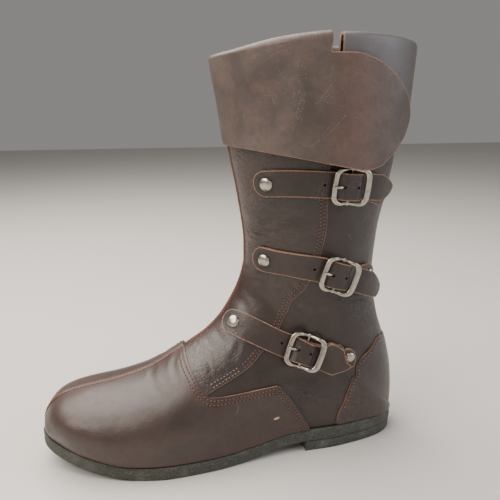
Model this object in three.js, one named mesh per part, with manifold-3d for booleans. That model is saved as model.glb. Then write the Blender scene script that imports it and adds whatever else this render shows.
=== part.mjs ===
// Medieval boot, left foot: a tall leather boot with a turned down cuff and three buckled straps.
// Millimetres, +Z up. The toe points to -X, the outer side of the foot to -Y.
// The origin lies on the floor under the heel.
import * as THREE from 'three';
import Module from 'manifold-3d';

const wasm = await Module();
wasm.setup();

// Sizes of the last
const lastLength = 294;
const ballWidth = 100;
const instepHeight = 130;
const heelBack = 35;
// Sizes of the sole
const heelHeight = 9;
const soleThickness = 11;
const toeSpring = 16;
const soleEdge = 2.8;
const heelLength = 86;
const insoleThickness = 3;
// Sizes of the shaft
const shaftFront = 311;
const shaftBack = 320;
const shaftCrown = 7;
const collarWidth = 108;
// Leather
const wall = 2.2;
const panelStep = 1.3;
const vampLift = 2.4;
const vampLow = 0.8;
const counterStep = 1.1;
const seamRidge = 0.8;
const clearance = 0.3;
const seatGap = 0.5;
// Cuff
const cuffThickness = 2;
const cuffFold = 2.5;
const cuffFoldTight = 3.4;
const cuffFoldWide = 4.7;
const cuffRise = 1.2;
const cuffFlare = 1.4;
const slitDepth = 24;
// Straps, buckles and rivets
const strapWidth = 20;
const strapThickness = 2;
const strapClearance = 0.6;
const strapTaper = 13;
const chapeWidth = 18.5;
const chapeThickness = 1.2;
const buckleLength = 29.5;
const buckleHeight = 28;
const buckleCorner = 5;
const barRadius = 1;
const barClearance = 0.7;
const slimBar = 4;
const railWidth = 2.4;
const wideBar = 4.8;
const frameThickness = 2;
const prongRadius = 0.85;
const rivetDiameter = 10;
const rivetInset = 10.5;
const backRivetDiameter = 8;
const backRivetInset = 5.5;
const backRivetHeight = 1.4;
const rivetHeight = 2;
const shankDiameter = 3.2;
const holeDiameter = 2.6;

// Outline of the last at the sole: along from the heel over the length, half widths over the ball width
const outline = [
  { along: 0, outer: 0, inner: 0 },
  { along: 0.012, outer: 0.125, inner: 0.125 },
  { along: 0.05, outer: 0.23, inner: 0.235 },
  { along: 0.13, outer: 0.31, inner: 0.32 },
  { along: 0.22, outer: 0.355, inner: 0.35 },
  { along: 0.33, outer: 0.37, inner: 0.32 },
  { along: 0.45, outer: 0.415, inner: 0.3 },
  { along: 0.58, outer: 0.485, inner: 0.375 },
  { along: 0.68, outer: 0.51, inner: 0.455 },
  { along: 0.78, outer: 0.465, inner: 0.475 },
  { along: 0.87, outer: 0.38, inner: 0.41 },
  { along: 0.94, outer: 0.265, inner: 0.295 },
  { along: 0.985, outer: 0.135, inner: 0.15 },
  { along: 1, outer: 0, inner: 0 },
];

// Underside of the sole: height as a share of the heel height and of the toe spring
const treadLine = [
  { along: -0.02, heel: 1, spring: 0 },
  { along: 0.29, heel: 1, spring: 0 },
  { along: 0.345, heel: 0.84, spring: 0 },
  { along: 0.42, heel: 0.44, spring: 0 },
  { along: 0.5, heel: 0.06, spring: 0 },
  { along: 0.55, heel: 0, spring: 0 },
  { along: 0.77, heel: 0, spring: 0 },
  { along: 0.88, heel: 0, spring: 0.34 },
  { along: 0.955, heel: 0, spring: 0.7 },
  { along: 1.02, heel: 0, spring: 1.04 },
];

// Sections of the foot, toe to heel: top point along and rise over the instep height, sole point along,
// half widths over the ball width, place of the widest point, fullness of the crown and of the base
const footSections = [
  { top: 1, rise: 0, base: 1, outer: 0, inner: 0, widest: 0.5, crown: 2, foot: 2 },
  { top: 1, rise: 0.075, base: 0.985, outer: 0.15, inner: 0.17, widest: 0.55, crown: 2.2, foot: 2.2 },
  { top: 0.985, rise: 0.16, base: 0.955, outer: 0.25, inner: 0.28, widest: 0.62, crown: 2.3, foot: 2.2 },
  { top: 0.955, rise: 0.237, base: 0.915, outer: 0.355, inner: 0.37, widest: 0.66, crown: 2.3, foot: 2.2 },
  { top: 0.9, rise: 0.308, base: 0.86, outer: 0.44, inner: 0.45, widest: 0.68, crown: 2.2, foot: 2.2 },
  { top: 0.82, rise: 0.376, base: 0.8, outer: 0.5, inner: 0.49, widest: 0.7, crown: 2.1, foot: 2.2 },
  { top: 0.72, rise: 0.447, base: 0.71, outer: 0.535, inner: 0.49, widest: 0.72, crown: 2, foot: 2.2 },
  { top: 0.62, rise: 0.575, base: 0.61, outer: 0.525, inner: 0.43, widest: 0.73, crown: 1.9, foot: 2.2 },
  { top: 0.545, rise: 0.688, base: 0.49, outer: 0.47, inner: 0.38, widest: 0.72, crown: 1.85, foot: 2.2 },
  { top: 0.503, rise: 0.787, base: 0.36, outer: 0.42, inner: 0.37, widest: 0.68, crown: 1.85, foot: 2.3 },
  { top: 0.478, rise: 0.873, base: 0.22, outer: 0.395, inner: 0.375, widest: 0.66, crown: 1.9, foot: 2.5 },
  { top: 0.459, rise: 0.951, base: 0.1, outer: 0.375, inner: 0.37, widest: 0.62, crown: 1.9, foot: 2.6 },
  { top: 0.448, rise: 1.015, base: 0.025, outer: 0.365, inner: 0.365, widest: 0.58, crown: 1.95, foot: 2.4 },
  { top: 0.442, rise: 1.063, base: 0, outer: 0.365, inner: 0.365, widest: 0.55, crown: 2, foot: 2.2 },
];

// Sections of the shaft, ankle to rim: front point, back point (heights are shares of what is left
// up to the rim) and half width over half the collar width
const shaftSections = [
  { front: 0.438, frontRise: 0.042, back: -0.005, backRise: 0.04, width: 0.676 },
  { front: 0.438, frontRise: 0.088, back: 0, backRise: 0.107, width: 0.685 },
  { front: 0.438, frontRise: 0.145, back: 0.019, backRise: 0.194, width: 0.694 },
  { front: 0.442, frontRise: 0.225, back: 0.054, backRise: 0.3, width: 0.713 },
  { front: 0.449, frontRise: 0.31, back: 0.074, backRise: 0.416, width: 0.741 },
  { front: 0.461, frontRise: 0.437, back: 0.066, backRise: 0.533, width: 0.787 },
  { front: 0.479, frontRise: 0.602, back: 0.039, backRise: 0.667, width: 0.852 },
  { front: 0.495, frontRise: 0.8, back: 0.018, backRise: 0.815, width: 0.926 },
  { front: 0.515, frontRise: 1, back: 0.003, backRise: 1, width: 1 },
];

// Places on the last are written as a section number, counted from the toe, and a share round the
// section: 0 on the front line, 1 at the sole edge or the back seam, minus on the outer side.
const ankle = footSections.length - 1;
const rim = footSections.length + shaftSections.length - 1;

// Rear edge of the vamp: section for each share round the foot
const vampOuterEdge = [
  { round: 0, section: 7.06 },
  { round: 0.143, section: 7.1 },
  { round: 0.245, section: 7.24 },
  { round: 0.303, section: 7.38 },
  { round: 0.338, section: 7.52 },
  { round: 0.383, section: 8.28 },
  { round: 0.422, section: 8.98 },
  { round: 0.445, section: 9.52 },
  { round: 0.536, section: 9.6 },
  { round: 0.875, section: 9.56 },
  { round: 1, section: 9.54 },
];
const vampInnerEdge = [
  { round: 0, section: 7.06 },
  { round: 0.143, section: 7.12 },
  { round: 0.26, section: 7.35 },
  { round: 0.35, section: 7.85 },
  { round: 0.43, section: 8.6 },
  { round: 0.52, section: 9.25 },
  { round: 0.66, section: 9.5 },
  { round: 1, section: 9.45 },
];
// Rear edge of the front panel, from the vamp up to the rim
const panelEdge = [
  { section: 7, round: 0.335 },
  { section: 7.9, round: 0.322 },
  { section: 8.9, round: 0.33 },
  { section: 9.8, round: 0.31 },
  { section: 11.8, round: 0.288 },
  { section: 14.2, round: 0.323 },
  { section: 16, round: 0.39 },
  { section: 17.6, round: 0.478 },
  { section: 18.7, round: 0.511 },
  { section: 20.9, round: 0.492 },
  { section: 22, round: 0.485 },
];
// Front edge of the counter
const counterEdge = [
  { section: 10.1, round: 1 },
  { section: 10.2, round: 0.83 },
  { section: 10.65, round: 0.66 },
  { section: 11.3, round: 0.58 },
  { section: 12, round: 0.555 },
  { section: 14, round: 0.605 },
  { section: 15.6, round: 0.71 },
  { section: 16.2, round: 0.81 },
  { section: 16.35, round: 1 },
];
// Sides of the notch at the rim
const notchFront = -0.475;
const notchBack = -0.509;
// Lower edge of the cuff round the shaft, from the notch over the front to the back and on to the notch
const cuffEdge = [
  { turn: notchFront, section: 20.09 },
  { turn: -0.3, section: 20.12 },
  { turn: 0, section: 20.12 },
  { turn: 0.3, section: 20.2 },
  { turn: 0.6, section: 20.45 },
  { turn: 0.85, section: 20.85 },
  { turn: 1, section: 21.1 },
  { turn: 1.3, section: 21.15 },
  { turn: 2 + notchBack, section: 21.2 },
];
// Fold radius of the cuff and flare of its leaf round the shaft: tight where it lies on the shaft, wide
// where the flap starts over the buckle
const cuffRadius = [
  { turn: notchFront, radius: cuffFoldWide, flare: 1 },
  { turn: -0.34, radius: 0.9 * cuffFoldWide, flare: 0.8 },
  { turn: -0.16, radius: cuffFold, flare: 0.2 },
  { turn: 0, radius: cuffFold, flare: 0.05 },
  { turn: 1, radius: cuffFold, flare: 0.4 },
  { turn: 1.2, radius: cuffFold, flare: 0.6 },
  { turn: 2 + notchBack, radius: cuffFoldTight, flare: 1 },
];
// Outline of the flap's free end
const flapTop = [
  { section: 21.86, round: notchFront },
  { section: 21.85, round: -0.545 },
  { section: 21.79, round: -0.595 },
  { section: 21.69, round: -0.65 },
  { section: 21.54, round: -0.708 },
];
const flapEnd = [
  { section: 21.54, round: -0.708 },
  { section: 21.33, round: -0.769 },
  { section: 21.1, round: -0.797 },
  { section: 20.85, round: -0.78 },
  { section: 20.55, round: -0.732 },
  { section: 20.24, round: -0.672 },
];
const flapLow = [
  { section: 20.09, round: notchFront },
  { section: 20.08, round: -0.578 },
  { section: 20.12, round: -0.625 },
  { section: 20.24, round: -0.672 },
];

// Straps, top to bottom: rounded front end, a place on the way, the buckle's bar, the tail's tip, the end
// of the chape behind the buckle, what the chape lies over, and the holes' distances over the buckle length
const strapTable = [
  {
    start: { section: 19.2, round: -0.195 },
    mid: { section: 19.5, round: -0.379 },
    bar: { section: 19.72, round: -0.58 },
    tip: { section: 19.9, round: -0.8 },
    chape: { section: 19.72, round: -0.81 },
    over: 0,
    holes: [-0.645, 0.15],
  },
  {
    start: { section: 15.3, round: -0.127 },
    mid: { section: 16.62, round: -0.333 },
    bar: { section: 17.4, round: -0.556 },
    tip: { section: 17.62, round: -0.84 },
    chape: { section: 18, round: -0.81 },
    over: 0.4,
    holes: [-0.645, 0.15],
  },
  {
    start: { section: 8.95, round: -0.08 },
    mid: { section: 10, round: -0.239 },
    bar: { section: 11.2, round: -0.386 },
    tip: { section: 13.4, round: -0.53 },
    chape: { section: 14.4, round: -0.585 },
    over: counterStep,
    holes: [-0.645, 0.15],
  },
];

// A smooth curve through a table that never overshoots it
function curve(xs, ys) {
  const last = xs.length - 1;
  const steps = xs.slice(1).map((x, i) => x - xs[i]);
  const slopes = steps.map((h, i) => (ys[i + 1] - ys[i]) / h);
  const tangents = xs.map((x, i) => {
    if (i === 0) return slopes[0];
    if (i === last) return slopes[last - 1];
    if (slopes[i - 1] * slopes[i] <= 0) return 0;
    const before = 2 * steps[i] + steps[i - 1];
    const after = steps[i] + 2 * steps[i - 1];
    return (before + after) / (before / slopes[i - 1] + after / slopes[i]);
  });
  return (value) => {
    const x = Math.min(Math.max(value, xs[0]), xs[last]);
    let i = 0;
    while (i < last - 1 && x >= xs[i + 1]) i += 1;
    const h = steps[i];
    const t = (x - xs[i]) / h;
    const rise = ys[i + 1] - ys[i];
    const bend = t * (1 - t) * ((1 - t) * (tangents[i] * h - rise) - t * (tangents[i + 1] * h - rise));
    return ys[i] + t * rise + bend;
  };
}

const column = (table, name) => table.map((row) => row[name]);
const tableCurve = (table, x, y) => curve(column(table, x), column(table, y));

// Round ends: the outline is read by an angle that runs evenly from the heel to the toe
const roundShare = (along) => Math.acos(1 - 2 * Math.min(Math.max(along, 0), 1)) / Math.PI;
const outlineAngles = outline.map((row) => roundShare(row.along));
const outerHalf = curve(outlineAngles, column(outline, 'outer'));
const innerHalf = curve(outlineAngles, column(outline, 'inner'));
const toX = (along) => heelBack - lastLength * along;
const toAlong = (x) => (heelBack - x) / lastLength;

function halfWidth(x, side) {
  const share = roundShare(toAlong(x));
  return ballWidth * (side < 0 ? outerHalf(share) : innerHalf(share));
}

const heelPart = tableCurve(treadLine, 'along', 'heel');
const springPart = tableCurve(treadLine, 'along', 'spring');
const treadHeight = (x) => heelPart(toAlong(x)) * heelHeight + springPart(toAlong(x)) * toeSpring;
const soleTop = (x) => treadHeight(x) + soleThickness;

// The last's sections as real sizes, each column as a smooth curve over the section number
function sectionCurves() {
  const rows = footSections.map((row) => ({
    topX: toX(row.top),
    topZ: soleTop(toX(row.top)) + row.rise * instepHeight,
    baseX: toX(row.base),
    baseZ: soleTop(toX(row.base)),
    outer: row.outer * ballWidth,
    inner: row.inner * ballWidth,
    widest: row.widest,
    crown: row.crown,
    foot: row.foot,
  }));
  const ankleZ = rows[ankle].topZ;
  const seatZ = soleTop(heelBack);
  for (const row of shaftSections) {
    const half = (row.width * collarWidth) / 2;
    rows.push({
      topX: toX(row.front),
      topZ: ankleZ + row.frontRise * (shaftFront - ankleZ),
      baseX: toX(row.back),
      baseZ: seatZ + row.backRise * (shaftBack - seatZ),
      outer: half,
      inner: half,
      widest: 0.5,
      crown: 2,
      foot: 2,
    });
  }
  const numbers = rows.map((row, i) => i);
  const curves = {};
  for (const name of Object.keys(rows[0])) curves[name] = curve(numbers, column(rows, name));
  return curves;
}
const sections = sectionCurves();

// A point on the last
function formPoint(section, round) {
  const side = round < 0 ? -1 : 1;
  const share = Math.abs(round);
  const onFoot = section <= ankle;
  const baseX = sections.baseX(section);
  const baseZ = onFoot ? soleTop(baseX) : sections.baseZ(section);
  const base = onFoot ? halfWidth(baseX, side) : 0;
  const full = Math.max(side < 0 ? sections.outer(section) : sections.inner(section), base);
  const widest = sections.widest(section);
  let down;
  let out;
  if (share <= 0.5) {
    const angle = share * Math.PI;
    const power = 2 / sections.crown(section);
    down = widest * (1 - Math.cos(angle) ** power);
    out = full * Math.sin(angle) ** power;
  } else {
    const angle = (share - 0.5) * Math.PI;
    const power = 2 / sections.foot(section);
    down = widest + (1 - widest) * Math.sin(angle) ** power;
    out = base + (full - base) * Math.max(Math.cos(angle), 0) ** power;
  }
  if (share === 1) {
    down = 1;
    out = base;
  }
  const topX = sections.topX(section);
  const topZ = sections.topZ(section);
  const shaft = Math.max(section - ankle, 0) / (rim - ankle);
  const crown = shaftCrown * 4 * down * (1 - down) * shaft ** 3;
  return new THREE.Vector3(
    topX + (baseX - topX) * down,
    out === 0 ? 0 : side * out,
    topZ + (baseZ - topZ) * down + crown,
  );
}

// Directions of the last's surface at a place: along the sections, round them, and outward
function formFrame(section, round) {
  const small = 1e-3;
  const sectionHigh = Math.min(section + small, rim);
  const sectionLow = Math.max(section - small, 0);
  const roundHigh = Math.min(round + small, 1);
  const roundLow = Math.max(round - small, -1);
  const alongStep = formPoint(sectionHigh, round).sub(formPoint(sectionLow, round));
  alongStep.divideScalar(sectionHigh - sectionLow);
  const roundStep = formPoint(section, roundHigh).sub(formPoint(section, roundLow));
  roundStep.divideScalar(roundHigh - roundLow);
  const outward = new THREE.Vector3().crossVectors(alongStep, roundStep);
  return { alongStep, roundStep, outward };
}

function formNormal(section, round) {
  if (section < 0.01) return new THREE.Vector3(-1, 0, 0);
  const outward = formFrame(section, round).outward.normalize();
  const share = Math.abs(round);
  if (outward.z < 0 && share > 0.5) {
    outward.z *= Math.min(Math.max((section - ankle) / 2, 0), 1);
    outward.normalize();
  }
  const atBack = share > 0.999 && section >= ankle;
  if (atBack || share < 0.001) outward.y = 0;
  return outward.normalize();
}

// A point above or below the last's surface. Turns past 1 run on from the back to the outer side.
function place(section, turn, offset) {
  const round = turn > 1 ? turn - 2 : turn;
  return formPoint(section, round).addScaledVector(formNormal(section, round), offset);
}

// Moves a place over the surface by a short vector
function slide(spot, vector) {
  let { section, round } = spot;
  const parts = 2;
  for (let i = 0; i < parts; i += 1) {
    const { alongStep, roundStep } = formFrame(section, round);
    const aa = alongStep.dot(alongStep);
    const rr = roundStep.dot(roundStep);
    const ar = alongStep.dot(roundStep);
    const av = alongStep.dot(vector) / parts;
    const rv = roundStep.dot(vector) / parts;
    const det = aa * rr - ar * ar;
    section += (av * rr - rv * ar) / det;
    round += (rv * aa - av * ar) / det;
  }
  return { section, round: Math.max(round, -0.999) };
}

// Collects triangles, welds their corners and turns them outward
class Skin {
  constructor() {
    this.points = [];
    this.lookup = new Map();
    this.faces = [];
  }

  point(p) {
    const key = [p.x, p.y, p.z].map((v) => Math.round(v * 1e4)).join(' ');
    if (!this.lookup.has(key)) {
      this.lookup.set(key, this.points.length);
      this.points.push(p);
    }
    return this.lookup.get(key);
  }

  triangle(a, b, c) {
    const [i, j, k] = [this.point(a), this.point(b), this.point(c)];
    if (i !== j && j !== k && k !== i) this.faces.push([i, j, k]);
  }

  quad(a, b, c, d) {
    const straight = a.distanceToSquared(c);
    const crossed = b.distanceToSquared(d);
    if (straight <= crossed) {
      this.triangle(a, b, c);
      this.triangle(a, c, d);
    } else {
      this.triangle(a, b, d);
      this.triangle(b, c, d);
    }
  }

  grid(rows, flipped = false) {
    for (let i = 0; i + 1 < rows.length; i += 1) {
      for (let j = 0; j + 1 < rows[i].length; j += 1) {
        const corners = [rows[i][j], rows[i][j + 1], rows[i + 1][j + 1], rows[i + 1][j]];
        if (flipped) corners.reverse();
        this.quad(...corners);
      }
    }
  }

  solid() {
    const volume = this.faces.reduce((sum, [i, j, k]) => {
      const [a, b, c] = [this.points[i], this.points[j], this.points[k]];
      return sum + a.dot(new THREE.Vector3().crossVectors(b, c));
    }, 0);
    const faces = volume < 0 ? this.faces.map(([i, j, k]) => [i, k, j]) : this.faces;
    return new wasm.Manifold(new wasm.Mesh({
      numProp: 3,
      vertProperties: new Float32Array(this.points.flatMap((p) => [p.x, p.y, p.z])),
      triVerts: new Uint32Array(faces.flat()),
    }));
  }
}

// A closed sheet between two grids of points
function sheet(inside, outside) {
  const skin = new Skin();
  const lastRow = inside.length - 1;
  skin.grid(outside);
  skin.grid(inside, true);
  const edge = (rows) => [rows(inside), rows(outside)];
  skin.grid(edge((g) => g[0]));
  skin.grid(edge((g) => g[lastRow]), true);
  skin.grid(edge((g) => g.map((row) => row[0])), true);
  skin.grid(edge((g) => g.map((row) => row[row.length - 1])));
  return skin.solid();
}

const spread = (count, low = 0, high = 1) =>
  Array.from({ length: count + 1 }, (unused, i) => low + ((high - low) * i) / count);

// A sheet laid on the last: spots is a grid of places, low and high are its offsets
function laidSheet(spots, low, high) {
  const offsetOf = (offset, i, j) => (typeof offset === 'function' ? offset(i, j) : offset);
  const layer = (offset) => spots.map((row, i) =>
    row.map((spot, j) => place(spot.section, spot.round, offsetOf(offset, i, j))));
  return sheet(layer(low), layer(high));
}

// Rows of the last's body: two to a section, four along the waist where the sole curves most
const waist = { from: 8, to: 11 };
const calf = ankle + 4;
const bodyRows = spread(rim * 4, 0, rim).filter((section, i) => {
  if (section > calf) return i % 4 === 0;
  return i % 2 === 0 || (section > waist.from && section < waist.to);
});

// The last grown or shrunk by an offset, as a closed body. A drop opens its bottom, a lift its top.
function lastBody(offset, sectionRows, shares, drop, lift) {
  const rows = sectionRows.map((section) => shares.map((round) => place(section, round, offset)));
  const ankleRow = sectionRows.indexOf(ankle);
  const skin = new Skin();
  skin.grid(rows);
  const down = new THREE.Vector3(0, 0, -drop);
  const lowered = (p) => p.clone().add(down);
  const end = shares.length - 1;
  const outerEdge = rows.slice(0, ankleRow + 1).map((row) => row[0]);
  const innerEdge = rows.slice(0, ankleRow + 1).map((row) => row[end]);
  const outerLow = outerEdge.map(lowered);
  const innerLow = innerEdge.map(lowered);
  outerEdge.forEach((p, i) => {
    if (i === ankleRow) return;
    skin.quad(outerLow[i], p, outerEdge[i + 1], outerLow[i + 1]);
    skin.quad(innerEdge[i], innerLow[i], innerLow[i + 1], innerEdge[i + 1]);
    skin.quad(innerLow[i], outerLow[i], outerLow[i + 1], innerLow[i + 1]);
  });
  if (drop > 0) skin.triangle(outerLow[0], innerEdge[0], outerEdge[0]);
  const top = rows[rows.length - 1];
  const raised = top.map((p) => p.clone().add(new THREE.Vector3(0, 0, lift)));
  skin.grid([top, raised]);
  const half = end / 2;
  const near = raised.slice(0, half + 1);
  const far = raised.slice(half).reverse();
  skin.grid([near, far]);
  return skin.solid();
}

// The hollow needs fewer rows and shares than the outside
const cavityRows = bodyRows.filter((section) => section % (section < ankle ? 0.5 : 1) === 0);
const roundShares = spread(24, -1, 1);
const cavityShares = spread(16, -1, 1);

function vampSheet() {
  const outer = tableCurve(vampOuterEdge, 'round', 'section');
  const inner = tableCurve(vampInnerEdge, 'round', 'section');
  const outerShares = [1, 0.85, 0.68, 0.55, 0.445, 0.422, 0.383, 0.338, 0.24, 0.12];
  const innerShares = [0, 0.12, 0.24, 0.34, 0.43, 0.52, 0.68, 0.85, 1];
  const shares = [...outerShares.map((share) => -share), ...innerShares];
  const edge = (round) => (round < 0 ? outer(-round) : inner(round));
  const lengths = [0, 0.05, 0.12, 0.21, 0.32, 0.45, 0.6, 0.75, 0.83, 0.89, 0.95, 1];
  const spots = lengths.map((k) => shares.map((round) => ({ section: k * edge(round), round })));
  return laidSheet(spots, -wall / 2, (i) => vampLow + (vampLift - vampLow) * lengths[i] ** 3);
}

function frontPanelSheet() {
  const outer = tableCurve(vampOuterEdge, 'round', 'section');
  const edge = tableCurve(panelEdge, 'section', 'round');
  const tuck = 0.25;
  const spots = spread(16).map((k) => spread(5).map((across) => {
    const start = outer(across * edge(7.5)) - tuck;
    const section = start + k * (rim - start);
    return { section, round: -across * edge(section) };
  }));
  return laidSheet(spots, -wall / 2, panelStep);
}

function counterSheet(side) {
  const edge = tableCurve(counterEdge, 'section', 'round');
  const first = counterEdge[0].section;
  const last = counterEdge[counterEdge.length - 1].section;
  const levels = [0, 0.03, 0.12, 0.26, 0.464, 0.68, 0.86, 0.96, 1];
  const spots = levels.map((k) => {
    const section = k === 0.464 ? ankle : first + k * (last - first);
    return spread(4).map((across) => {
      const start = edge(section);
      return { section, round: side * (start + across * (1 - start)) };
    });
  });
  return laidSheet(spots, -wall / 2, counterStep);
}

// The raised seam down the middle of the vamp, and the one down the front of the shaft
function seamSheet(from, to, count, height) {
  const half = 0.014;
  const spots = spread(count, from, to).map((section) =>
    [-half, 0, half].map((round) => ({ section, round })));
  return laidSheet(spots, -wall / 2, height);
}

// The slit at the rim, where the front of the shaft laps over the back
function slitCutter() {
  const reach = wall * 4;
  const edges = [notchFront, notchBack];
  const grid = (offset) => [-slitDepth, slitDepth].map((height) =>
    edges.map((round) => place(rim, round, offset).add(new THREE.Vector3(0, 0, height))));
  return sheet(grid(-reach), grid(reach));
}

function upperSolid() {
  const overrun = wall * 3;
  const shell = lastBody(0, bodyRows, roundShares, 0, 0);
  const cavity = lastBody(-wall, cavityRows, cavityShares, overrun, overrun);
  const vampTop = tableCurve(vampOuterEdge, 'round', 'section')(0);
  const pieces = [
    vampSheet(),
    frontPanelSheet(),
    counterSheet(-1),
    counterSheet(1),
    seamSheet(1.6, vampTop - 0.15, 10, vampLift + seamRidge * 0.6),
    seamSheet(vampTop - 0.1, rim, 16, panelStep + seamRidge),
  ];
  const raised = pieces.reduce((body, piece) => body.add(piece), shell);
  return raised.subtract(cavity).subtract(slitCutter());
}

// The outline of the last grown by an edge, from the heel's end round the toe and back
function outlineLoop(grow, from = 0, to = 1, count = 30) {
  const shares = spread(count).map((k) => {
    const low = roundShare(from);
    return low + k * (roundShare(to) - low);
  });
  const alongs = shares.map((share) => (1 - Math.cos(Math.PI * share)) / 2);
  const side = (sign) => alongs.map((along) => outlinePoint(along, sign, grow));
  return { outer: side(-1), inner: side(1) };
}

function outlinePoint(along, sign, grow) {
  const small = 1e-4;
  const x = toX(along);
  const point = new THREE.Vector2(x, sign * halfWidth(x, sign));
  if (along < small || along > 1 - small) {
    return new THREE.Vector2(x + (along < 0.5 ? grow : -grow), 0);
  }
  const ahead = toX(along + small);
  const behind = toX(along - small);
  const tangent = new THREE.Vector2(
    ahead - behind,
    sign * (halfWidth(ahead, sign) - halfWidth(behind, sign)),
  ).normalize();
  const normal = new THREE.Vector2(-tangent.y, tangent.x).multiplyScalar(sign < 0 ? 1 : -1);
  return point.addScaledVector(normal, grow);
}

// A plate with the last's outline: levels run from its underside to its top
function plate(levels, from, to, count, straightEnd) {
  const skin = new Skin();
  const loops = levels.map(({ grow, height }) => {
    const { outer, inner } = outlineLoop(grow, from, to, count);
    const lift = (p) => new THREE.Vector3(p.x, p.y, height(p.x));
    return { outer: outer.map(lift), inner: inner.map(lift) };
  });
  const first = loops[0];
  const last = loops[loops.length - 1];
  skin.grid([first.outer, first.inner], true);
  skin.grid([last.outer, last.inner]);
  skin.grid(loops.map((loop) => loop.outer));
  skin.grid(loops.map((loop) => loop.inner), true);
  if (straightEnd) {
    const end = count;
    skin.grid(loops.map((loop) => [loop.outer[end], loop.inner[end]]));
  }
  return skin.solid();
}

function outsoleSolid() {
  const bevel = 1;
  return plate([
    { grow: soleEdge - bevel, height: treadHeight },
    { grow: soleEdge, height: (x) => treadHeight(x) + bevel },
    { grow: soleEdge, height: (x) => soleTop(x) - seatGap - bevel },
    { grow: soleEdge - bevel * 0.6, height: (x) => soleTop(x) - seatGap },
  ], 0, 1, 34, false);
}

function heelSolid() {
  const share = heelLength / lastLength;
  const top = heelHeight - clearance;
  return plate([
    { grow: soleEdge - 1.4, height: () => 0 },
    { grow: soleEdge - 0.6, height: () => 1 },
    { grow: soleEdge - 0.2, height: () => top },
  ], 0, share, 14, true);
}

function insoleSolid() {
  const grow = -wall - clearance * 2.5;
  return plate([
    { grow, height: soleTop },
    { grow: grow - 0.4, height: (x) => soleTop(x) + insoleThickness },
  ], 0, 1, 18, false);
}

// The cuff's rows: up from the rim, over the fold, then down the outer leaf
const foldSteps = 4;
const leafShares = [0.0733, 0.34, 0.67, 1];
const cuffRows = [
  { rise: -1, fold: 0 },
  { rise: 1, fold: 0 },
  ...spread(foldSteps).slice(1).map((fold) => ({ rise: 1, fold })),
  ...leafShares.map((leaf) => ({ leaf })),
];
const flapRow = foldSteps + 2;
const cuffBottom = tableCurve(cuffEdge, 'turn', 'section');
const foldRadius = tableCurve(cuffRadius, 'turn', 'radius');
const foldFlare = tableCurve(cuffRadius, 'turn', 'flare');

// Offset of the cuff's leaf from the last, for a face: 1 is the outer one, -1 the inner one
function leafOffset(turn, section, face) {
  const middle = 2 * foldRadius(turn) - wall / 2 + cuffFlare * foldFlare(turn) * (rim - section);
  return middle + (face * cuffThickness) / 2;
}

function cuffPoint(turn, row, face) {
  if (row.leaf !== undefined) {
    const section = rim + (cuffBottom(turn) - rim) * row.leaf;
    return place(section, turn, leafOffset(turn, section, face));
  }
  const round = turn > 1 ? turn - 2 : turn;
  const level = formNormal(rim, round).setZ(0).normalize();
  const radius = foldRadius(turn);
  const reach = radius + (face * cuffThickness) / 2;
  const angle = Math.PI * (1 - row.fold);
  const out = radius - wall / 2 + reach * Math.cos(angle);
  const up = row.rise * cuffRise + reach * Math.sin(angle);
  return formPoint(rim, round).addScaledVector(level, out).add(new THREE.Vector3(0, 0, up));
}

function boundary(table) {
  const shares = spread(table.length - 1);
  const section = curve(shares, column(table, 'section'));
  const round = curve(shares, column(table, 'round'));
  return (share) => ({ section: section(share), round: round(share) });
}

// A place in the flap, blended between its four edges
const flapEdges = { top: boundary(flapTop), low: boundary(flapLow), end: boundary(flapEnd) };
const flapStart = boundary([flapTop[0], flapLow[0]]);

function flapSpot(across, down) {
  const blend = (name) => {
    const rows = (1 - down) * flapEdges.top(across)[name] + down * flapEdges.low(across)[name];
    const columns = (1 - across) * flapStart(down)[name] + across * flapEdges.end(down)[name];
    const upper = (1 - across) * flapStart(0)[name] + across * flapEdges.end(0)[name];
    const lower = (1 - across) * flapStart(1)[name] + across * flapEdges.end(1)[name];
    return rows + columns - (1 - down) * upper - down * lower;
  };
  return { section: blend('section'), round: blend('round') };
}

function cuffSolid() {
  const turns = spread(28, notchFront, 2 + notchBack);
  const band = (face) => cuffRows.map((row) => turns.map((turn) => cuffPoint(turn, row, face)));
  const leafRows = leafShares.map((leaf) => (leaf - leafShares[0]) / (1 - leafShares[0]));
  const across = spread(6, 1, 0).slice(0, -1);
  const flap = (face, shared) => leafRows.map((down, i) => {
    const points = across.map((share) => {
      const spot = flapSpot(share, down);
      return place(spot.section, spot.round, leafOffset(notchFront, spot.section, face));
    });
    return [...points, shared[flapRow + i][0]];
  });
  const outerBand = band(1);
  const innerBand = band(-1);
  const outerFlap = flap(1, outerBand);
  const innerFlap = flap(-1, innerBand);
  const firstColumn = (grid) => grid.map((row) => row[0]);
  const lastColumn = (grid) => grid.map((row) => row[row.length - 1]);
  const last = cuffRows.length - 1;
  const lastLeaf = leafShares.length - 1;
  const skin = new Skin();
  skin.grid(outerBand);
  skin.grid(innerBand, true);
  skin.grid(outerFlap);
  skin.grid(innerFlap, true);
  skin.grid([innerBand[0], outerBand[0]]);
  skin.grid([innerBand[last], outerBand[last]], true);
  skin.grid([lastColumn(innerBand), lastColumn(outerBand)]);
  const side = (grid) => firstColumn(grid).slice(0, flapRow + 1);
  skin.grid([side(innerBand), side(outerBand)], true);
  skin.grid([innerFlap[0], outerFlap[0]]);
  skin.grid([innerFlap[lastLeaf], outerFlap[lastLeaf]], true);
  skin.grid([firstColumn(innerFlap), firstColumn(outerFlap)], true);
  const seat = lastBody(panelStep + seamRidge, cavityRows, roundShares, 0, clearance + seatGap);
  return skin.solid().subtract(seat);
}

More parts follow.
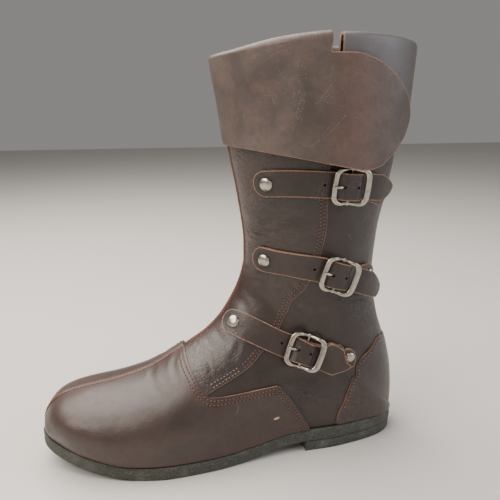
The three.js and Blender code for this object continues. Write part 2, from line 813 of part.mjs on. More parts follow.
// A path over the last through a few places, measured from one of them
function surfacePath(spots, zeroAt) {
  const points = spots.map((spot) => formPoint(spot.section, spot.round));
  const lengths = [0];
  for (let i = 1; i < points.length; i += 1) {
    lengths.push(lengths[i - 1] + points[i].distanceTo(points[i - 1]));
  }
  const distances = lengths.map((length) => length - lengths[zeroAt]);
  const section = curve(distances, column(spots, 'section'));
  const round = curve(distances, column(spots, 'round'));
  const at = (distance) => ({ section: section(distance), round: round(distance) });
  const point = (distance, offset) => {
    const spot = at(distance);
    return place(spot.section, spot.round, offset);
  };
  const frame = (distance) => {
    const spot = at(distance);
    const normal = formNormal(spot.section, spot.round);
    const along = point(distance + 0.5, 0).sub(point(distance - 0.5, 0)).normalize();
    const across = new THREE.Vector3().crossVectors(normal, along).normalize();
    return { along, across, normal };
  };
  return { at, point, frame, first: distances[0], last: distances[distances.length - 1] };
}

// A strip of leather along a path. Its profile gives distance and height for each station.
function ribbon(path, profile, widthAt, thickness) {
  const last = profile.length - 1;
  const layer = (side) => profile.map((station, i) => {
    const before = profile[Math.max(i - 1, 0)];
    const after = profile[Math.min(i + 1, last)];
    const tangent = new THREE.Vector2(after.at - before.at, after.lift - before.lift).normalize();
    const at = station.at - (tangent.y * side * thickness) / 2;
    const lift = station.lift + (tangent.x * side * thickness) / 2;
    const spot = path.at(at);
    const { across } = path.frame(at);
    return [-1, 0, 1].map((share) => {
      const moved = slide(spot, across.clone().multiplyScalar((share * widthAt(station, i)) / 2));
      return place(moved.section, moved.round, lift);
    });
  });
  return sheet(layer(-1), layer(1));
}

// Turns a three.js geometry into a solid at a local frame: x along, y outward, z across
function placedSolid(geometry, origin, frame) {
  const matrix = new THREE.Matrix4().makeBasis(frame.along, frame.normal, frame.across.clone().negate());
  matrix.setPosition(origin);
  const flat = geometry.toNonIndexed().applyMatrix4(matrix);
  const positions = flat.attributes.position;
  const corner = (i) => new THREE.Vector3().fromBufferAttribute(positions, i);
  const skin = new Skin();
  for (let i = 0; i < positions.count; i += 3) skin.triangle(corner(i), corner(i + 1), corner(i + 2));
  return skin.solid();
}

// A round cutter through a strap, square to the last
function holeCutter(path, distance, diameter) {
  const origin = path.point(distance, 0);
  const drill = new THREE.CylinderGeometry(diameter / 2, diameter / 2, strapWidth, 8);
  return placedSolid(drill, origin, path.frame(distance));
}

// A domed rivet: its head rests on the leather, its shank goes through it
function rivetSolid(path, distance, seat, floor, diameter, height) {
  const radius = diameter / 2;
  const shank = seat - floor;
  const profile = [
    [0, -shank], [shankDiameter / 2, -shank], [shankDiameter / 2, 0], [radius, 0], [radius, height * 0.25],
    [radius * 0.7, height * 0.8], [0, height],
  ].map(([x, y]) => new THREE.Vector2(x, y));
  const lathe = new THREE.LatheGeometry(profile, 8);
  return placedSolid(lathe, path.point(distance, seat), path.frame(distance));
}

// A tube of a given section along points of a plane. Each station has a point, a side and an up direction.
function tube(stations, closed) {
  const rings = stations.map(({ point, side, up, width, height }) => {
    const corners = [[0.5, 0], [0.34, 0.5], [-0.34, 0.5], [-0.5, 0], [-0.34, -0.5], [0.34, -0.5]];
    return corners.map(([x, y]) => point.clone()
      .addScaledVector(side, x * width)
      .addScaledVector(up, y * height));
  });
  const loop = rings.map((ring) => [...ring, ring[0]]);
  const skin = new Skin();
  skin.grid(closed ? [...loop, loop[0]] : loop);
  if (!closed) {
    const cap = (ring, flipped) => {
      for (let i = 1; i + 1 < ring.length; i += 1) {
        if (flipped) skin.triangle(ring[0], ring[i], ring[i + 1]);
        else skin.triangle(ring[0], ring[i + 1], ring[i]);
      }
    };
    cap(rings[0], false);
    cap(rings[rings.length - 1], true);
  }
  return skin.solid();
}

// Heights above the last of what lies at a buckle
const foldOuter = barRadius + barClearance + chapeThickness;
const foldMiddle = barRadius + barClearance + chapeThickness / 2;
const barHeight = strapClearance + foldOuter;
const chapeLow = strapClearance + chapeThickness / 2;
const chapeHigh = chapeLow + chapeThickness + clearance;
const chapeTop = chapeHigh + chapeThickness / 2;
const strapLow = panelStep + strapClearance + strapThickness / 2;
const strapOverBar = barHeight + foldOuter + clearance + strapThickness / 2;
const strapOverChape = chapeTop + clearance + strapThickness / 2;
const strapOverRivet = strapOverChape + 2 * clearance + backRivetHeight;

function strapAssembly(row) {
  const centre = row.bar;
  const origin = place(centre.section, centre.round, 0);
  const straight = formPoint(row.tip.section, row.tip.round)
    .sub(formPoint(row.mid.section, row.mid.round))
    .projectOnPlane(formNormal(centre.section, centre.round))
    .normalize();
  const beside = (distance) => slide(centre, straight.clone().multiplyScalar(distance));
  const reach = buckleLength * 0.45;
  const path = surfacePath([row.start, row.mid, beside(-reach), centre, beside(reach), row.tip], 3);
  const frame = path.frame(0);
  const local = (along, across, up) => origin.clone()
    .addScaledVector(frame.along, along)
    .addScaledVector(frame.across, across)
    .addScaledVector(frame.normal, up);
  const heightOf = (point) => point.clone().sub(origin).dot(frame.normal);

  // The chape leaves the bar in line with the strap and then bends to its own end
  const nearBar = buckleLength * 0.15;
  const leaving = buckleLength * 0.26;
  const chapePath = surfacePath([beside(-leaving), centre, beside(leaving), row.chape], 1);
  const chapeLength = chapePath.last;
  const chapeRivet = chapeLength - backRivetInset;
  const overAt = curve([0, leaving, chapeRivet - backRivetDiameter, chapeLength], [0, 0, row.over, row.over]);

  // Strap
  const strapRise = curve(
    [
      -reach, -reach * 0.64, -nearBar, nearBar, reach * 0.86, chapeRivet - backRivetDiameter, chapeRivet,
      path.last,
    ],
    [
      strapLow, (strapLow + strapOverBar) / 2, strapOverBar, strapOverBar, strapOverChape + clearance,
      strapOverRivet + row.over * 0.7, strapOverRivet + row.over, strapOverRivet + row.over - clearance,
    ],
  );
  const roundEnd = [0.06, 0.35, 1].map((share) => path.first + (strapWidth / 2) * share);
  const bend = [-0.64, -0.32, 0, 0.32, 0.57, 0.86].map((share) => share * reach);
  const middle = spread(5, path.first + strapWidth * 0.8, -reach * 0.93).concat(bend);
  const tail = spread(2, reach * 1.29, path.last - strapTaper);
  const point = [0.45, 0.8, 1].map((share) => path.last - strapTaper * (1 - share));
  const stations = [...roundEnd, ...middle, ...tail, ...point];
  const profile = stations.map((at) => ({ at, lift: strapRise(at) }));
  const strapWidthAt = ({ at }) => {
    const fromStart = Math.min((at - path.first) / (strapWidth / 2), 1);
    const fromTip = Math.min((path.last - at) / strapTaper, 1);
    const start = Math.sqrt(1 - (1 - fromStart) ** 2);
    const tip = 0.16 + 0.84 * Math.sqrt(1 - (1 - fromTip) ** 1.6);
    return strapWidth * Math.min(start, tip);
  };
  let strap = ribbon(path, profile, strapWidthAt, strapThickness);

  // Chape, folded round the bar
  const lower = [...spread(3, chapeLength, reach * 0.64), nearBar]
    .map((at) => ({ at, lift: chapeLow + overAt(at) }));
  const fold = spread(5, -90, -270).map((degrees) => {
    const angle = THREE.MathUtils.degToRad(degrees);
    return { at: foldMiddle * Math.cos(angle), lift: barHeight + foldMiddle * Math.sin(angle) };
  });
  const foldTop = barHeight + foldMiddle;
  const fallFrom = nearBar * 0.65;
  const fall = curve([0, fallFrom, leaving], [foldTop, foldTop - barRadius / 2, chapeHigh]);
  const upper = [fallFrom, leaving, ...spread(3, reach * 0.93, chapeLength)]
    .map((at) => ({ at, lift: fall(at) + overAt(at) }));
  let chape = ribbon(chapePath, [...lower, ...fold, ...upper], () => chapeWidth, chapeThickness);

  // Frame of the buckle: its end bars lie over the strap
  const halfLength = buckleLength / 2;
  const halfHeight = (buckleHeight - railWidth) / 2;
  const overStrap = (along) => {
    const spot = path.at(along);
    const { across } = path.frame(along);
    const heights = [-1, 0, 1].map((share) => {
      const moved = slide(spot, across.clone().multiplyScalar((share * strapWidth) / 2));
      const lift = strapRise(along) + strapThickness / 2;
      return heightOf(place(moved.section, moved.round, lift));
    });
    return Math.max(...heights) + 3 * clearance + frameThickness / 2;
  };
  const slimAt = -halfLength + slimBar / 2;
  const wideAt = halfLength - wideBar / 2;
  const slimHeight = Math.max(overStrap(-halfLength), overStrap(slimAt + slimBar / 2), barHeight);
  const wideHeight = Math.max(overStrap(wideAt - wideBar / 2), overStrap(wideAt + wideBar / 2), barHeight);
  const frameRise = curve(
    [slimAt, slimAt * 0.7, 0, wideAt * 0.6, wideAt],
    [slimHeight, slimHeight, barHeight, wideHeight, wideHeight],
  );
  const frameWidth = curve([slimAt, 0, wideAt], [slimBar, railWidth, wideBar]);
  const loop = [];
  const corners = [
    { along: wideAt, across: halfHeight, turn: 0 },
    { along: slimAt, across: halfHeight, turn: 90 },
    { along: slimAt, across: -halfHeight, turn: 180 },
    { along: wideAt, across: -halfHeight, turn: 270 },
  ];
  for (const corner of corners) {
    const centreAlong = corner.along - Math.sign(corner.along) * buckleCorner;
    const centreAcross = corner.across - Math.sign(corner.across) * buckleCorner;
    for (const step of spread(3, 0, 90)) {
      const angle = THREE.MathUtils.degToRad(corner.turn + step);
      const along = centreAlong + buckleCorner * Math.cos(angle);
      loop.push({ along, across: centreAcross + buckleCorner * Math.sin(angle), angle });
    }
    if (corner.turn === 0 || corner.turn === 180) {
      const sign = corner.turn === 0 ? 1 : -1;
      for (const along of [nearBar * sign, 0, -nearBar * sign]) {
        loop.push({ along, across: sign * halfHeight, angle: THREE.MathUtils.degToRad(sign * 90) });
      }
    } else {
      const angle = corner.turn === 90 ? Math.PI : 0;
      loop.push({ along: corner.along > 0 ? wideAt : slimAt, across: 0, angle });
    }
  }
  const ring = loop.map(({ along, across, angle }) => {
    const side = new THREE.Vector3()
      .addScaledVector(frame.along, Math.cos(angle))
      .addScaledVector(frame.across, Math.sin(angle));
    const point3 = local(along, across, frameRise(along));
    return { point: point3, side, up: frame.normal, width: frameWidth(along), height: frameThickness };
  });
  const bar = new THREE.CylinderGeometry(barRadius, barRadius, halfHeight * 2, 8).rotateX(Math.PI / 2);
  const buckle = tube(ring, true).add(placedSolid(bar, local(0, 0, barHeight), frame));

  // Prong: looped round the bar, its tip on the slim bar
  const prong = () => {
    const loopRadius = barRadius + clearance + prongRadius;
    const spots = spread(5, -165, 90).map((degrees) => {
      const angle = THREE.MathUtils.degToRad(degrees);
      return {
        along: loopRadius * Math.cos(angle),
        up: barHeight + loopRadius * Math.sin(angle),
        sideAlong: Math.cos(angle),
        sideUp: Math.sin(angle),
      };
    });
    const tipHeight = slimHeight + frameThickness / 2 + clearance + prongRadius;
    const tipAt = slimAt - slimBar * 0.45;
    const rise = curve([tipAt, slimAt + slimBar * 0.6, 0], [tipHeight, tipHeight, barHeight + loopRadius]);
    for (const along of [-nearBar, -reach * 0.64, tipAt]) {
      spots.push({ along, up: rise(along), sideAlong: 0, sideUp: 1 });
    }
    const stationsOf = spots.map(({ along, up, sideAlong, sideUp }) => ({
      point: local(along, 0, up),
      side: frame.across,
      up: new THREE.Vector3().addScaledVector(frame.along, sideAlong).addScaledVector(frame.normal, sideUp),
      width: prongRadius * 2.2,
      height: prongRadius * 2,
    }));
    return tube(stationsOf, false);
  };
  const slot = (from, to) => {
    const width = 2 * (prongRadius * 1.1 + clearance);
    const box = new THREE.BoxGeometry(to - from, buckleHeight, width);
    return placedSolid(box, local((from + to) / 2, 0, 0), frame);
  };
  const rivetAt = path.first + rivetInset;
  const rivetHole = shankDiameter + 2 * clearance;
  strap = strap.subtract(slot(-reach * 0.86, 0)).subtract(holeCutter(path, rivetAt, rivetHole));
  for (const share of row.holes) {
    strap = strap.subtract(holeCutter(path, share * buckleLength, holeDiameter));
  }
  chape = chape.subtract(slot(-foldOuter * 1.3, foldOuter * 1.3))
    .subtract(holeCutter(chapePath, chapeRivet, rivetHole));

  const strapTop = strapLow + strapThickness / 2;
  const rivetFloor = panelStep + clearance;
  const rivet = rivetSolid(path, rivetAt, strapTop + clearance, rivetFloor, rivetDiameter, rivetHeight);
  const backRivet = rivetSolid(
    chapePath, chapeRivet, chapeTop + row.over + clearance, row.over + strapClearance, backRivetDiameter,
    backRivetHeight,
  );
  return { strap, chape, buckle, prong: prong(), rivet, backRivet };
}

// Makes a named mesh from a solid
function finish(name, solid, color, roughness, metalness) {
  const { numProp, vertProperties, triVerts } = solid.getMesh();
  const positions = new Float32Array((vertProperties.length / numProp) * 3);
  for (let i = 0; i < positions.length / 3; i += 1) {
    for (let k = 0; k < 3; k += 1) positions[i * 3 + k] = vertProperties[i * numProp + k];
  }
  const geometry = new THREE.BufferGeometry();
  geometry.setAttribute('position', new THREE.BufferAttribute(positions, 3));
  geometry.setIndex(new THREE.BufferAttribute(new Uint32Array(triVerts), 1));
  geometry.computeVertexNormals();
  const material = new THREE.MeshStandardMaterial({ color, roughness, metalness });
  const mesh = new THREE.Mesh(geometry, material);
  mesh.name = name;
  return mesh;
}

const leather = { color: 0x4a3732, roughness: 0.5 };
const rubber = { color: 0x2c2d2a, roughness: 0.8 };
const lining = { color: 0x6b5040, roughness: 0.8 };
const steel = { color: 0xc4bfb2, roughness: 0.35 };

const boot = new THREE.Group();
boot.add(finish('upper', upperSolid(), leather.color, leather.roughness, 0));
boot.add(finish('outsole', outsoleSolid(), rubber.color, rubber.roughness, 0));
boot.add(finish('heel', heelSolid(), rubber.color, rubber.roughness, 0));
boot.add(finish('insole', insoleSolid(), lining.color, lining.roughness, 0));

boot.add(finish('cuff', cuffSolid(), leather.color, leather.roughness, 0));

strapTable.forEach((row, i) => {
  const number = i + 1;
  const pieces = strapAssembly(row);
  boot.add(finish(`strap_${number}`, pieces.strap, leather.color, leather.roughness, 0));
  boot.add(finish(`chape_${number}`, pieces.chape, leather.color, leather.roughness, 0));
  boot.add(finish(`buckle_${number}`, pieces.buckle, steel.color, steel.roughness, 1));
  boot.add(finish(`prong_${number}`, pieces.prong, steel.color, steel.roughness, 1));
  boot.add(finish(`front_rivet_${number}`, pieces.rivet, steel.color, steel.roughness, 1));
  boot.add(finish(`back_rivet_${number}`, pieces.backRivet, steel.color, steel.roughness, 1));
});

export default boot;
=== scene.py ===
"""A medieval boot, left foot: leather, stitching, straps, buckles and sole laid over the solids."""

import math

import bpy
import numpy as np
from mathutils import Matrix, Vector


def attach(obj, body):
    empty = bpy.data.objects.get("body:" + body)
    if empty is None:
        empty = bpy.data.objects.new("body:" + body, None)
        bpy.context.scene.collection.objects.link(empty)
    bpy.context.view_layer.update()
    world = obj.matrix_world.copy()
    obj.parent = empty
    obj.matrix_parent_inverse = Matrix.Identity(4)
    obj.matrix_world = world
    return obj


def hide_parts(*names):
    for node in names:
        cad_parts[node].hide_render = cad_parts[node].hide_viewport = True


bl_info = {
    "name": "Medieval Boot",
    "version": (1, 0, 0),
    "blender": (4, 5, 0),
    "location": "View3D > Sidebar > Boot",
    "description": "Builds the leather, straps, buckles and sole of a medieval boot",
    "category": "Add Mesh",
}

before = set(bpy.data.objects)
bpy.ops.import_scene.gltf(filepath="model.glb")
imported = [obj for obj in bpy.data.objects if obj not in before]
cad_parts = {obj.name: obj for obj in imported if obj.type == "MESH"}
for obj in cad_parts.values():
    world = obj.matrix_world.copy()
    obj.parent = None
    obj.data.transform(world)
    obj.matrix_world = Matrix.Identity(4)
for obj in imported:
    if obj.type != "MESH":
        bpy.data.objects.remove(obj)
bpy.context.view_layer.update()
MM = 0.001
WELD = 0.002 * MM

# Outline of the last at the sole: along from the heel over the length, half widths over the ball width
OUTLINE = [
    (0, 0, 0), (0.012, 0.125, 0.125), (0.05, 0.23, 0.235), (0.13, 0.31, 0.32), (0.22, 0.355, 0.35),
    (0.33, 0.37, 0.32), (0.45, 0.415, 0.3), (0.58, 0.485, 0.375), (0.68, 0.51, 0.455),
    (0.78, 0.465, 0.475), (0.87, 0.38, 0.41), (0.94, 0.265, 0.295), (0.985, 0.135, 0.15), (1, 0, 0),
]
# Underside of the sole: along, then shares of the heel height and of the toe spring
TREAD = [
    (-0.02, 1, 0), (0.29, 1, 0), (0.345, 0.84, 0), (0.42, 0.44, 0), (0.5, 0.06, 0), (0.55, 0, 0),
    (0.77, 0, 0), (0.88, 0, 0.34), (0.955, 0, 0.7), (1.02, 0, 1.04),
]
# Sections of the foot, toe to heel: top point along and rise, sole point along, outer and inner half
# widths, place of the widest point, fullness of the crown and of the base
FOOT = [
    (1, 0, 1, 0, 0, 0.5, 2, 2), (1, 0.075, 0.985, 0.15, 0.17, 0.55, 2.2, 2.2),
    (0.985, 0.16, 0.955, 0.25, 0.28, 0.62, 2.3, 2.2), (0.955, 0.237, 0.915, 0.355, 0.37, 0.66, 2.3, 2.2),
    (0.9, 0.308, 0.86, 0.44, 0.45, 0.68, 2.2, 2.2), (0.82, 0.376, 0.8, 0.5, 0.49, 0.7, 2.1, 2.2),
    (0.72, 0.447, 0.71, 0.535, 0.49, 0.72, 2, 2.2), (0.62, 0.575, 0.61, 0.525, 0.43, 0.73, 1.9, 2.2),
    (0.545, 0.688, 0.49, 0.47, 0.38, 0.72, 1.85, 2.2), (0.503, 0.787, 0.36, 0.42, 0.37, 0.68, 1.85, 2.3),
    (0.478, 0.873, 0.22, 0.395, 0.375, 0.66, 1.9, 2.5), (0.459, 0.951, 0.1, 0.375, 0.37, 0.62, 1.9, 2.6),
    (0.448, 1.015, 0.025, 0.365, 0.365, 0.58, 1.95, 2.4), (0.442, 1.063, 0, 0.365, 0.365, 0.55, 2, 2.2),
]
# Sections of the shaft, ankle to rim: front along and rise, back along and rise, half width
SHAFT = [
    (0.438, 0.042, -0.005, 0.04, 0.676), (0.438, 0.088, 0, 0.107, 0.685), (0.438, 0.145, 0.019, 0.194, 0.694),
    (0.442, 0.225, 0.054, 0.3, 0.713), (0.449, 0.31, 0.074, 0.416, 0.741),
    (0.461, 0.437, 0.066, 0.533, 0.787), (0.479, 0.602, 0.039, 0.667, 0.852),
    (0.495, 0.8, 0.018, 0.815, 0.926), (0.515, 1, 0.003, 1, 1),
]
ANKLE = len(FOOT) - 1
RIM = len(FOOT) + len(SHAFT) - 1

# Places on the last are a section number, counted from the toe, and a turn: 0 on the front line, 1 at
# the sole edge or the back seam, minus on the outer side of the foot.
VAMP_OUTER = [
    (0, 7.06), (0.143, 7.1), (0.245, 7.24), (0.303, 7.38), (0.338, 7.52), (0.383, 8.28), (0.422, 8.98),
    (0.445, 9.52), (0.536, 9.6), (0.875, 9.56), (1, 9.54),
]
VAMP_INNER = [
    (0, 7.06), (0.143, 7.12), (0.26, 7.35), (0.35, 7.85), (0.43, 8.6), (0.52, 9.25), (0.66, 9.5), (1, 9.45),
]
PANEL_EDGE = [
    (7, 0.335), (7.9, 0.322), (8.9, 0.33), (9.8, 0.31), (11.8, 0.288), (14.2, 0.323), (16, 0.39),
    (17.6, 0.478), (18.7, 0.511), (20.9, 0.492), (22, 0.485),
]
COUNTER_EDGE = [
    (10.1, 1), (10.2, 0.83), (10.65, 0.66), (11.3, 0.58), (12, 0.555), (14, 0.605), (15.6, 0.71),
    (16.2, 0.81), (16.35, 1),
]
NOTCH_FRONT = -0.475
NOTCH_BACK = -0.509
CUFF_EDGE = [
    (NOTCH_FRONT, 20.09), (-0.3, 20.12), (0, 20.12), (0.3, 20.2), (0.6, 20.45), (0.85, 20.85), (1, 21.1),
    (1.3, 21.15), (2 + NOTCH_BACK, 21.2),
]
FLAP_TOP = [(21.86, NOTCH_FRONT), (21.85, -0.545), (21.79, -0.595), (21.69, -0.65), (21.54, -0.708)]
FLAP_END = [
    (21.54, -0.708), (21.33, -0.769), (21.1, -0.797), (20.85, -0.78), (20.55, -0.732), (20.24, -0.672),
]
FLAP_LOW = [(20.09, NOTCH_FRONT), (20.08, -0.578), (20.12, -0.625), (20.24, -0.672)]

# Straps, top to bottom: front end, a place on the way, the buckle's bar, the tail's tip, the end of the
# chape, and in millimetres the step that the chape lies over. The tip narrows by a power of its length,
# 0.5 being the roundest, and its lower and upper edge start to narrow at shares of the strap's taper.
STRAPS = [
    {"start": (19.2, -0.195), "mid": (19.5, -0.379), "bar": (19.72, -0.58), "tip": (19.9, -0.8),
     "chape": (19.72, -0.81), "over": 0.0, "narrowing": 0.72, "taper": (0.8, 1.2)},
    {"start": (15.3, -0.127), "mid": (16.62, -0.333), "bar": (17.4, -0.556), "tip": (17.62, -0.84),
     "chape": (18, -0.81), "over": 0.4, "narrowing": 0.72, "taper": (0.6, 1.4)},
    {"start": (8.95, -0.08), "mid": (10, -0.239), "bar": (11.2, -0.386), "tip": (13.4, -0.53),
     "chape": (14.4, -0.585), "over": 1.1, "narrowing": 0.5, "taper": (0.7, 0.9)},
]
# Punched holes beside the prong's, and the prong's own, as shares of the buckle's length from its bar
HOLES = (-0.645, 0.15)
PRONG_HOLE = -0.23
# Depth that a hole is cut to, and a strap's least width at its tip, as a share of its width
HOLE_DEPTH = 30 * MM
TIP_WIDTH = 0.05
# Where the flap starts, as a share of the way from the cuff's fold down its leaf
FLAP_START = 0.0733

# Shares of the shaft's leather that the outer skins take, and the depth at which the lining lies in it
SKIN = 0.9
PANEL_SKIN = 0.95
LINING_DEPTH = 1.05
LINING_THICKNESS = 0.5 * MM
# The counter's thickness as a share of its step, so that it dips into the quarters
COUNTER_SKIN = 1.1
# The insole's top over the sole, its thickness and how far it dishes
INSOLE_TOP = 3 * MM
INSOLE_THICKNESS = 2.4 * MM
INSOLE_DISH = 0.8 * MM


def length(name, description, millimetres):
    """A size in metres with its default given in millimetres."""
    return bpy.props.FloatProperty(
        name=name, description=description, default=millimetres * MM, subtype="DISTANCE", unit="LENGTH",
        precision=5,
    )


def colour(name, description, red, green, blue):
    """A colour with a linear default."""
    return bpy.props.FloatVectorProperty(
        name=name, description=description, default=(red, green, blue), subtype="COLOR", size=3, min=0, max=1,
    )


class BootSizes(bpy.types.PropertyGroup):
    """Sizes of the boot's pieces. Those of the last and the sole are the solids' own."""

    last_length: length("Last length", "Heel to toe of the last", 294)
    ball_width: length("Ball width", "Width that the outline's shares follow", 100)
    instep_height: length("Instep height", "Height that the foot's sections follow", 130)
    heel_back: length("Heel back", "How far the heel's end lies behind the origin", 35)
    heel_height: length("Heel height", "Height of the heel block", 9)
    sole_thickness: length("Sole thickness", "Thickness of the outsole", 11)
    toe_spring: length("Toe spring", "Rise of the toe off the floor", 16)
    sole_edge: length("Sole edge", "How far the sole stands out past the upper", 2.8)
    heel_length: length("Heel length", "Length of the heel block", 86)
    shaft_front: length("Shaft front", "Height of the rim at the front", 311)
    shaft_back: length("Shaft back", "Height of the rim at the back", 320)
    shaft_crown: length("Shaft crown", "Arch of the rim between front and back", 7)
    collar_width: length("Collar width", "Width of the shaft at the rim", 108)
    wall: length("Wall", "Thickness of the shaft's leather", 2.2)
    panel_step: length("Panel step", "Rise of the front panel over the quarter", 1.3)
    vamp_lift: length("Vamp lift", "Rise of the vamp over the last at its rear edge", 2.4)
    vamp_low: length("Vamp low", "Rise of the vamp over the last at the toe", 0.8)
    counter_step: length("Counter step", "Rise of the counter over the quarter", 1.1)
    seam_ridge: length("Seam ridge", "Height of the closed seams", 0.8)
    cuff_thickness: length("Cuff thickness", "Thickness of the turned down cuff", 2)
    cuff_fold: length("Cuff fold", "Radius of the cuff's fold where it lies on the shaft", 2.5)
    cuff_fold_tight: length("Tight cuff fold", "Radius of the fold under the flap", 3.4)
    cuff_fold_wide: length("Wide cuff fold", "Radius of the fold where the flap starts", 4.7)
    cuff_rise: length("Cuff rise", "Height of the fold over the rim", 1.2)
    cuff_flare: length("Cuff flare", "How far the leaf flares for each section down", 1.4)
    stitch_pitch: length("Stitch pitch", "Distance from stitch to stitch", 3)
    stitch_length: length("Stitch length", "Length of one stitch", 2.1)
    thread_radius: length("Thread radius", "Radius of the thread", 0.34)
    row_inset: length("Row inset", "Distance of the first stitch row from the leather's edge", 2.3)
    row_gap: length("Row gap", "Distance between two rows of a double seam", 3.2)
    strap_width: length("Strap width", "Width of a strap", 20)
    strap_thickness: length("Strap thickness", "Thickness of a strap", 2)
    strap_clearance: length("Strap clearance", "Room between a strap and what it lies on", 0.6)
    strap_taper: length("Strap taper", "Length of a strap's pointed end", 13)
    chape_width: length("Chape width", "Width of the leather that holds a buckle", 18.5)
    chape_thickness: length("Chape thickness", "Thickness of that leather", 1.2)
    buckle_length: length("Buckle length", "Length of a buckle along the strap", 29.5)
    buckle_height: length("Buckle height", "Height of a buckle across the strap", 28)
    buckle_corner: length("Buckle corner", "Radius of a buckle's corners", 5)
    frame_thickness: length("Frame thickness", "Thickness of a buckle's frame", 2)
    slim_bar: length("Slim bar", "Width of the bar that the prong rests on", 4)
    rail: length("Rail", "Width of a buckle's rails", 2.4)
    wide_bar: length("Wide bar", "Width of the bar at the tail's side", 4.8)
    bar_radius: length("Bar radius", "Radius of the bar that carries the prong", 1)
    bar_clearance: length("Bar clearance", "Room between the bar and the chape", 0.7)
    prong_radius: length("Prong radius", "Radius of a prong", 0.85)
    rivet_diameter: length("Rivet diameter", "Diameter of a front rivet", 10)
    rivet_inset: length("Rivet inset", "Distance of a front rivet from the strap's end", 10.5)
    rivet_height: length("Rivet height", "Height of a front rivet's dome", 2)
    back_rivet_diameter: length("Back rivet diameter", "Diameter of a chape's rivet", 8)
    back_rivet_inset: length("Back rivet inset", "Distance of that rivet from the chape's end", 5.5)
    back_rivet_height: length("Back rivet height", "Height of that rivet's dome", 1.4)
    hole_diameter: length("Hole diameter", "Diameter of the punched holes", 2.6)
    shank_diameter: length("Shank diameter", "Diameter of the rivets' shanks", 3.2)
    clearance: length("Clearance", "Room between pieces that touch", 0.3)


class BootColours(bpy.types.PropertyGroup):
    """Colours of the boot's materials."""

    leather: colour("Leather", "Smooth brown leather of the vamp and the quarters", 0.031, 0.0185, 0.015)
    panel: colour("Front panel", "Redder leather of the front panel", 0.021, 0.0125, 0.0102)
    cuff: colour("Cuff", "Greyer leather of the cuff", 0.075, 0.055, 0.047)
    raw: colour("Raw edge", "Cut edges of the leather", 0.3, 0.17, 0.11)
    flesh: colour("Flesh side", "Inner side of the leather", 0.17, 0.115, 0.08)
    thread: colour("Thread", "Thread of the double seams", 0.2, 0.088, 0.058)
    tan_thread: colour("Tan thread", "Thread of the counter's seam", 0.3, 0.15, 0.08)
    pale_thread: colour("Pale thread", "Thread at the front panel's foot", 0.27, 0.2, 0.155)
    seam_edge: colour("Seam edge", "Reddish edges of the closed seams", 0.12, 0.045, 0.026)
    rubber: colour("Rubber", "Sole and heel", 0.06, 0.064, 0.052)
    metal: colour("Metal", "Buckles and rivets", 0.44, 0.41, 0.35)


def sizes():
    return bpy.context.scene.boot_sizes


def colours():
    return bpy.context.scene.boot_colours


class Curve:
    """A smooth curve through a table that never overshoots it."""

    def __init__(self, xs, ys):
        self.xs = np.array(xs, float)
        self.ys = np.array(ys, float)
        self.steps = np.diff(self.xs)
        slopes = np.diff(self.ys) / self.steps
        before = 2 * self.steps[1:] + self.steps[:-1]
        after = self.steps[1:] + 2 * self.steps[:-1]
        steady = slopes[:-1] * slopes[1:] > 0
        low = np.where(steady, slopes[:-1], 1)
        high = np.where(steady, slopes[1:], 1)
        inner = np.where(steady, (before + after) / (before / low + after / high), 0)
        self.tangents = np.concatenate([slopes[:1], inner, slopes[-1:]])

    def __call__(self, value):
        x = np.clip(value, self.xs[0], self.xs[-1])
        i = np.clip(np.searchsorted(self.xs, x, side="right") - 1, 0, len(self.steps) - 1)
        h = self.steps[i]
        t = (x - self.xs[i]) / h
        rise = self.ys[i + 1] - self.ys[i]
        bend = t * (1 - t) * ((1 - t) * (self.tangents[i] * h - rise) - t * (self.tangents[i + 1] * h - rise))
        return self.ys[i] + t * rise + bend


def table_curve(table, x=0, y=1):
    return Curve([row[x] for row in table], [row[y] for row in table])


def spread(count, low=0.0, high=1.0):
    return np.linspace(low, high, count + 1)


def unit(vectors):
    return vectors / np.maximum(np.linalg.norm(vectors, axis=-1, keepdims=True), 1e-12)


def dot(a, b):
    return (a * b).sum(-1)


def ramp(value, start, width):
    """0 up to a start, 1 from a width past it, even between."""
    return np.clip((value - start) / width, 0, 1)


def hump(value, middle, width):
    """1 at the middle, falling off smoothly to both sides."""
    return np.exp(-((value - middle) / width) ** 2)


def paired(section, turn):
    """Sections and turns as tables of one shape, with each turn between -1 and 1."""
    section, turn = np.broadcast_arrays(np.asarray(section, float), np.asarray(turn, float))
    return section, np.where(turn > 1, turn - 2, turn)


def distances(points):
    """How far each point lies along its line."""
    return np.concatenate([[0], np.cumsum(np.linalg.norm(np.diff(points, axis=0), axis=1))])


def round_share(along):
    """The outline is read by an angle that runs evenly from the heel to the toe."""
    return np.arccos(1 - 2 * np.clip(along, 0, 1)) / math.pi


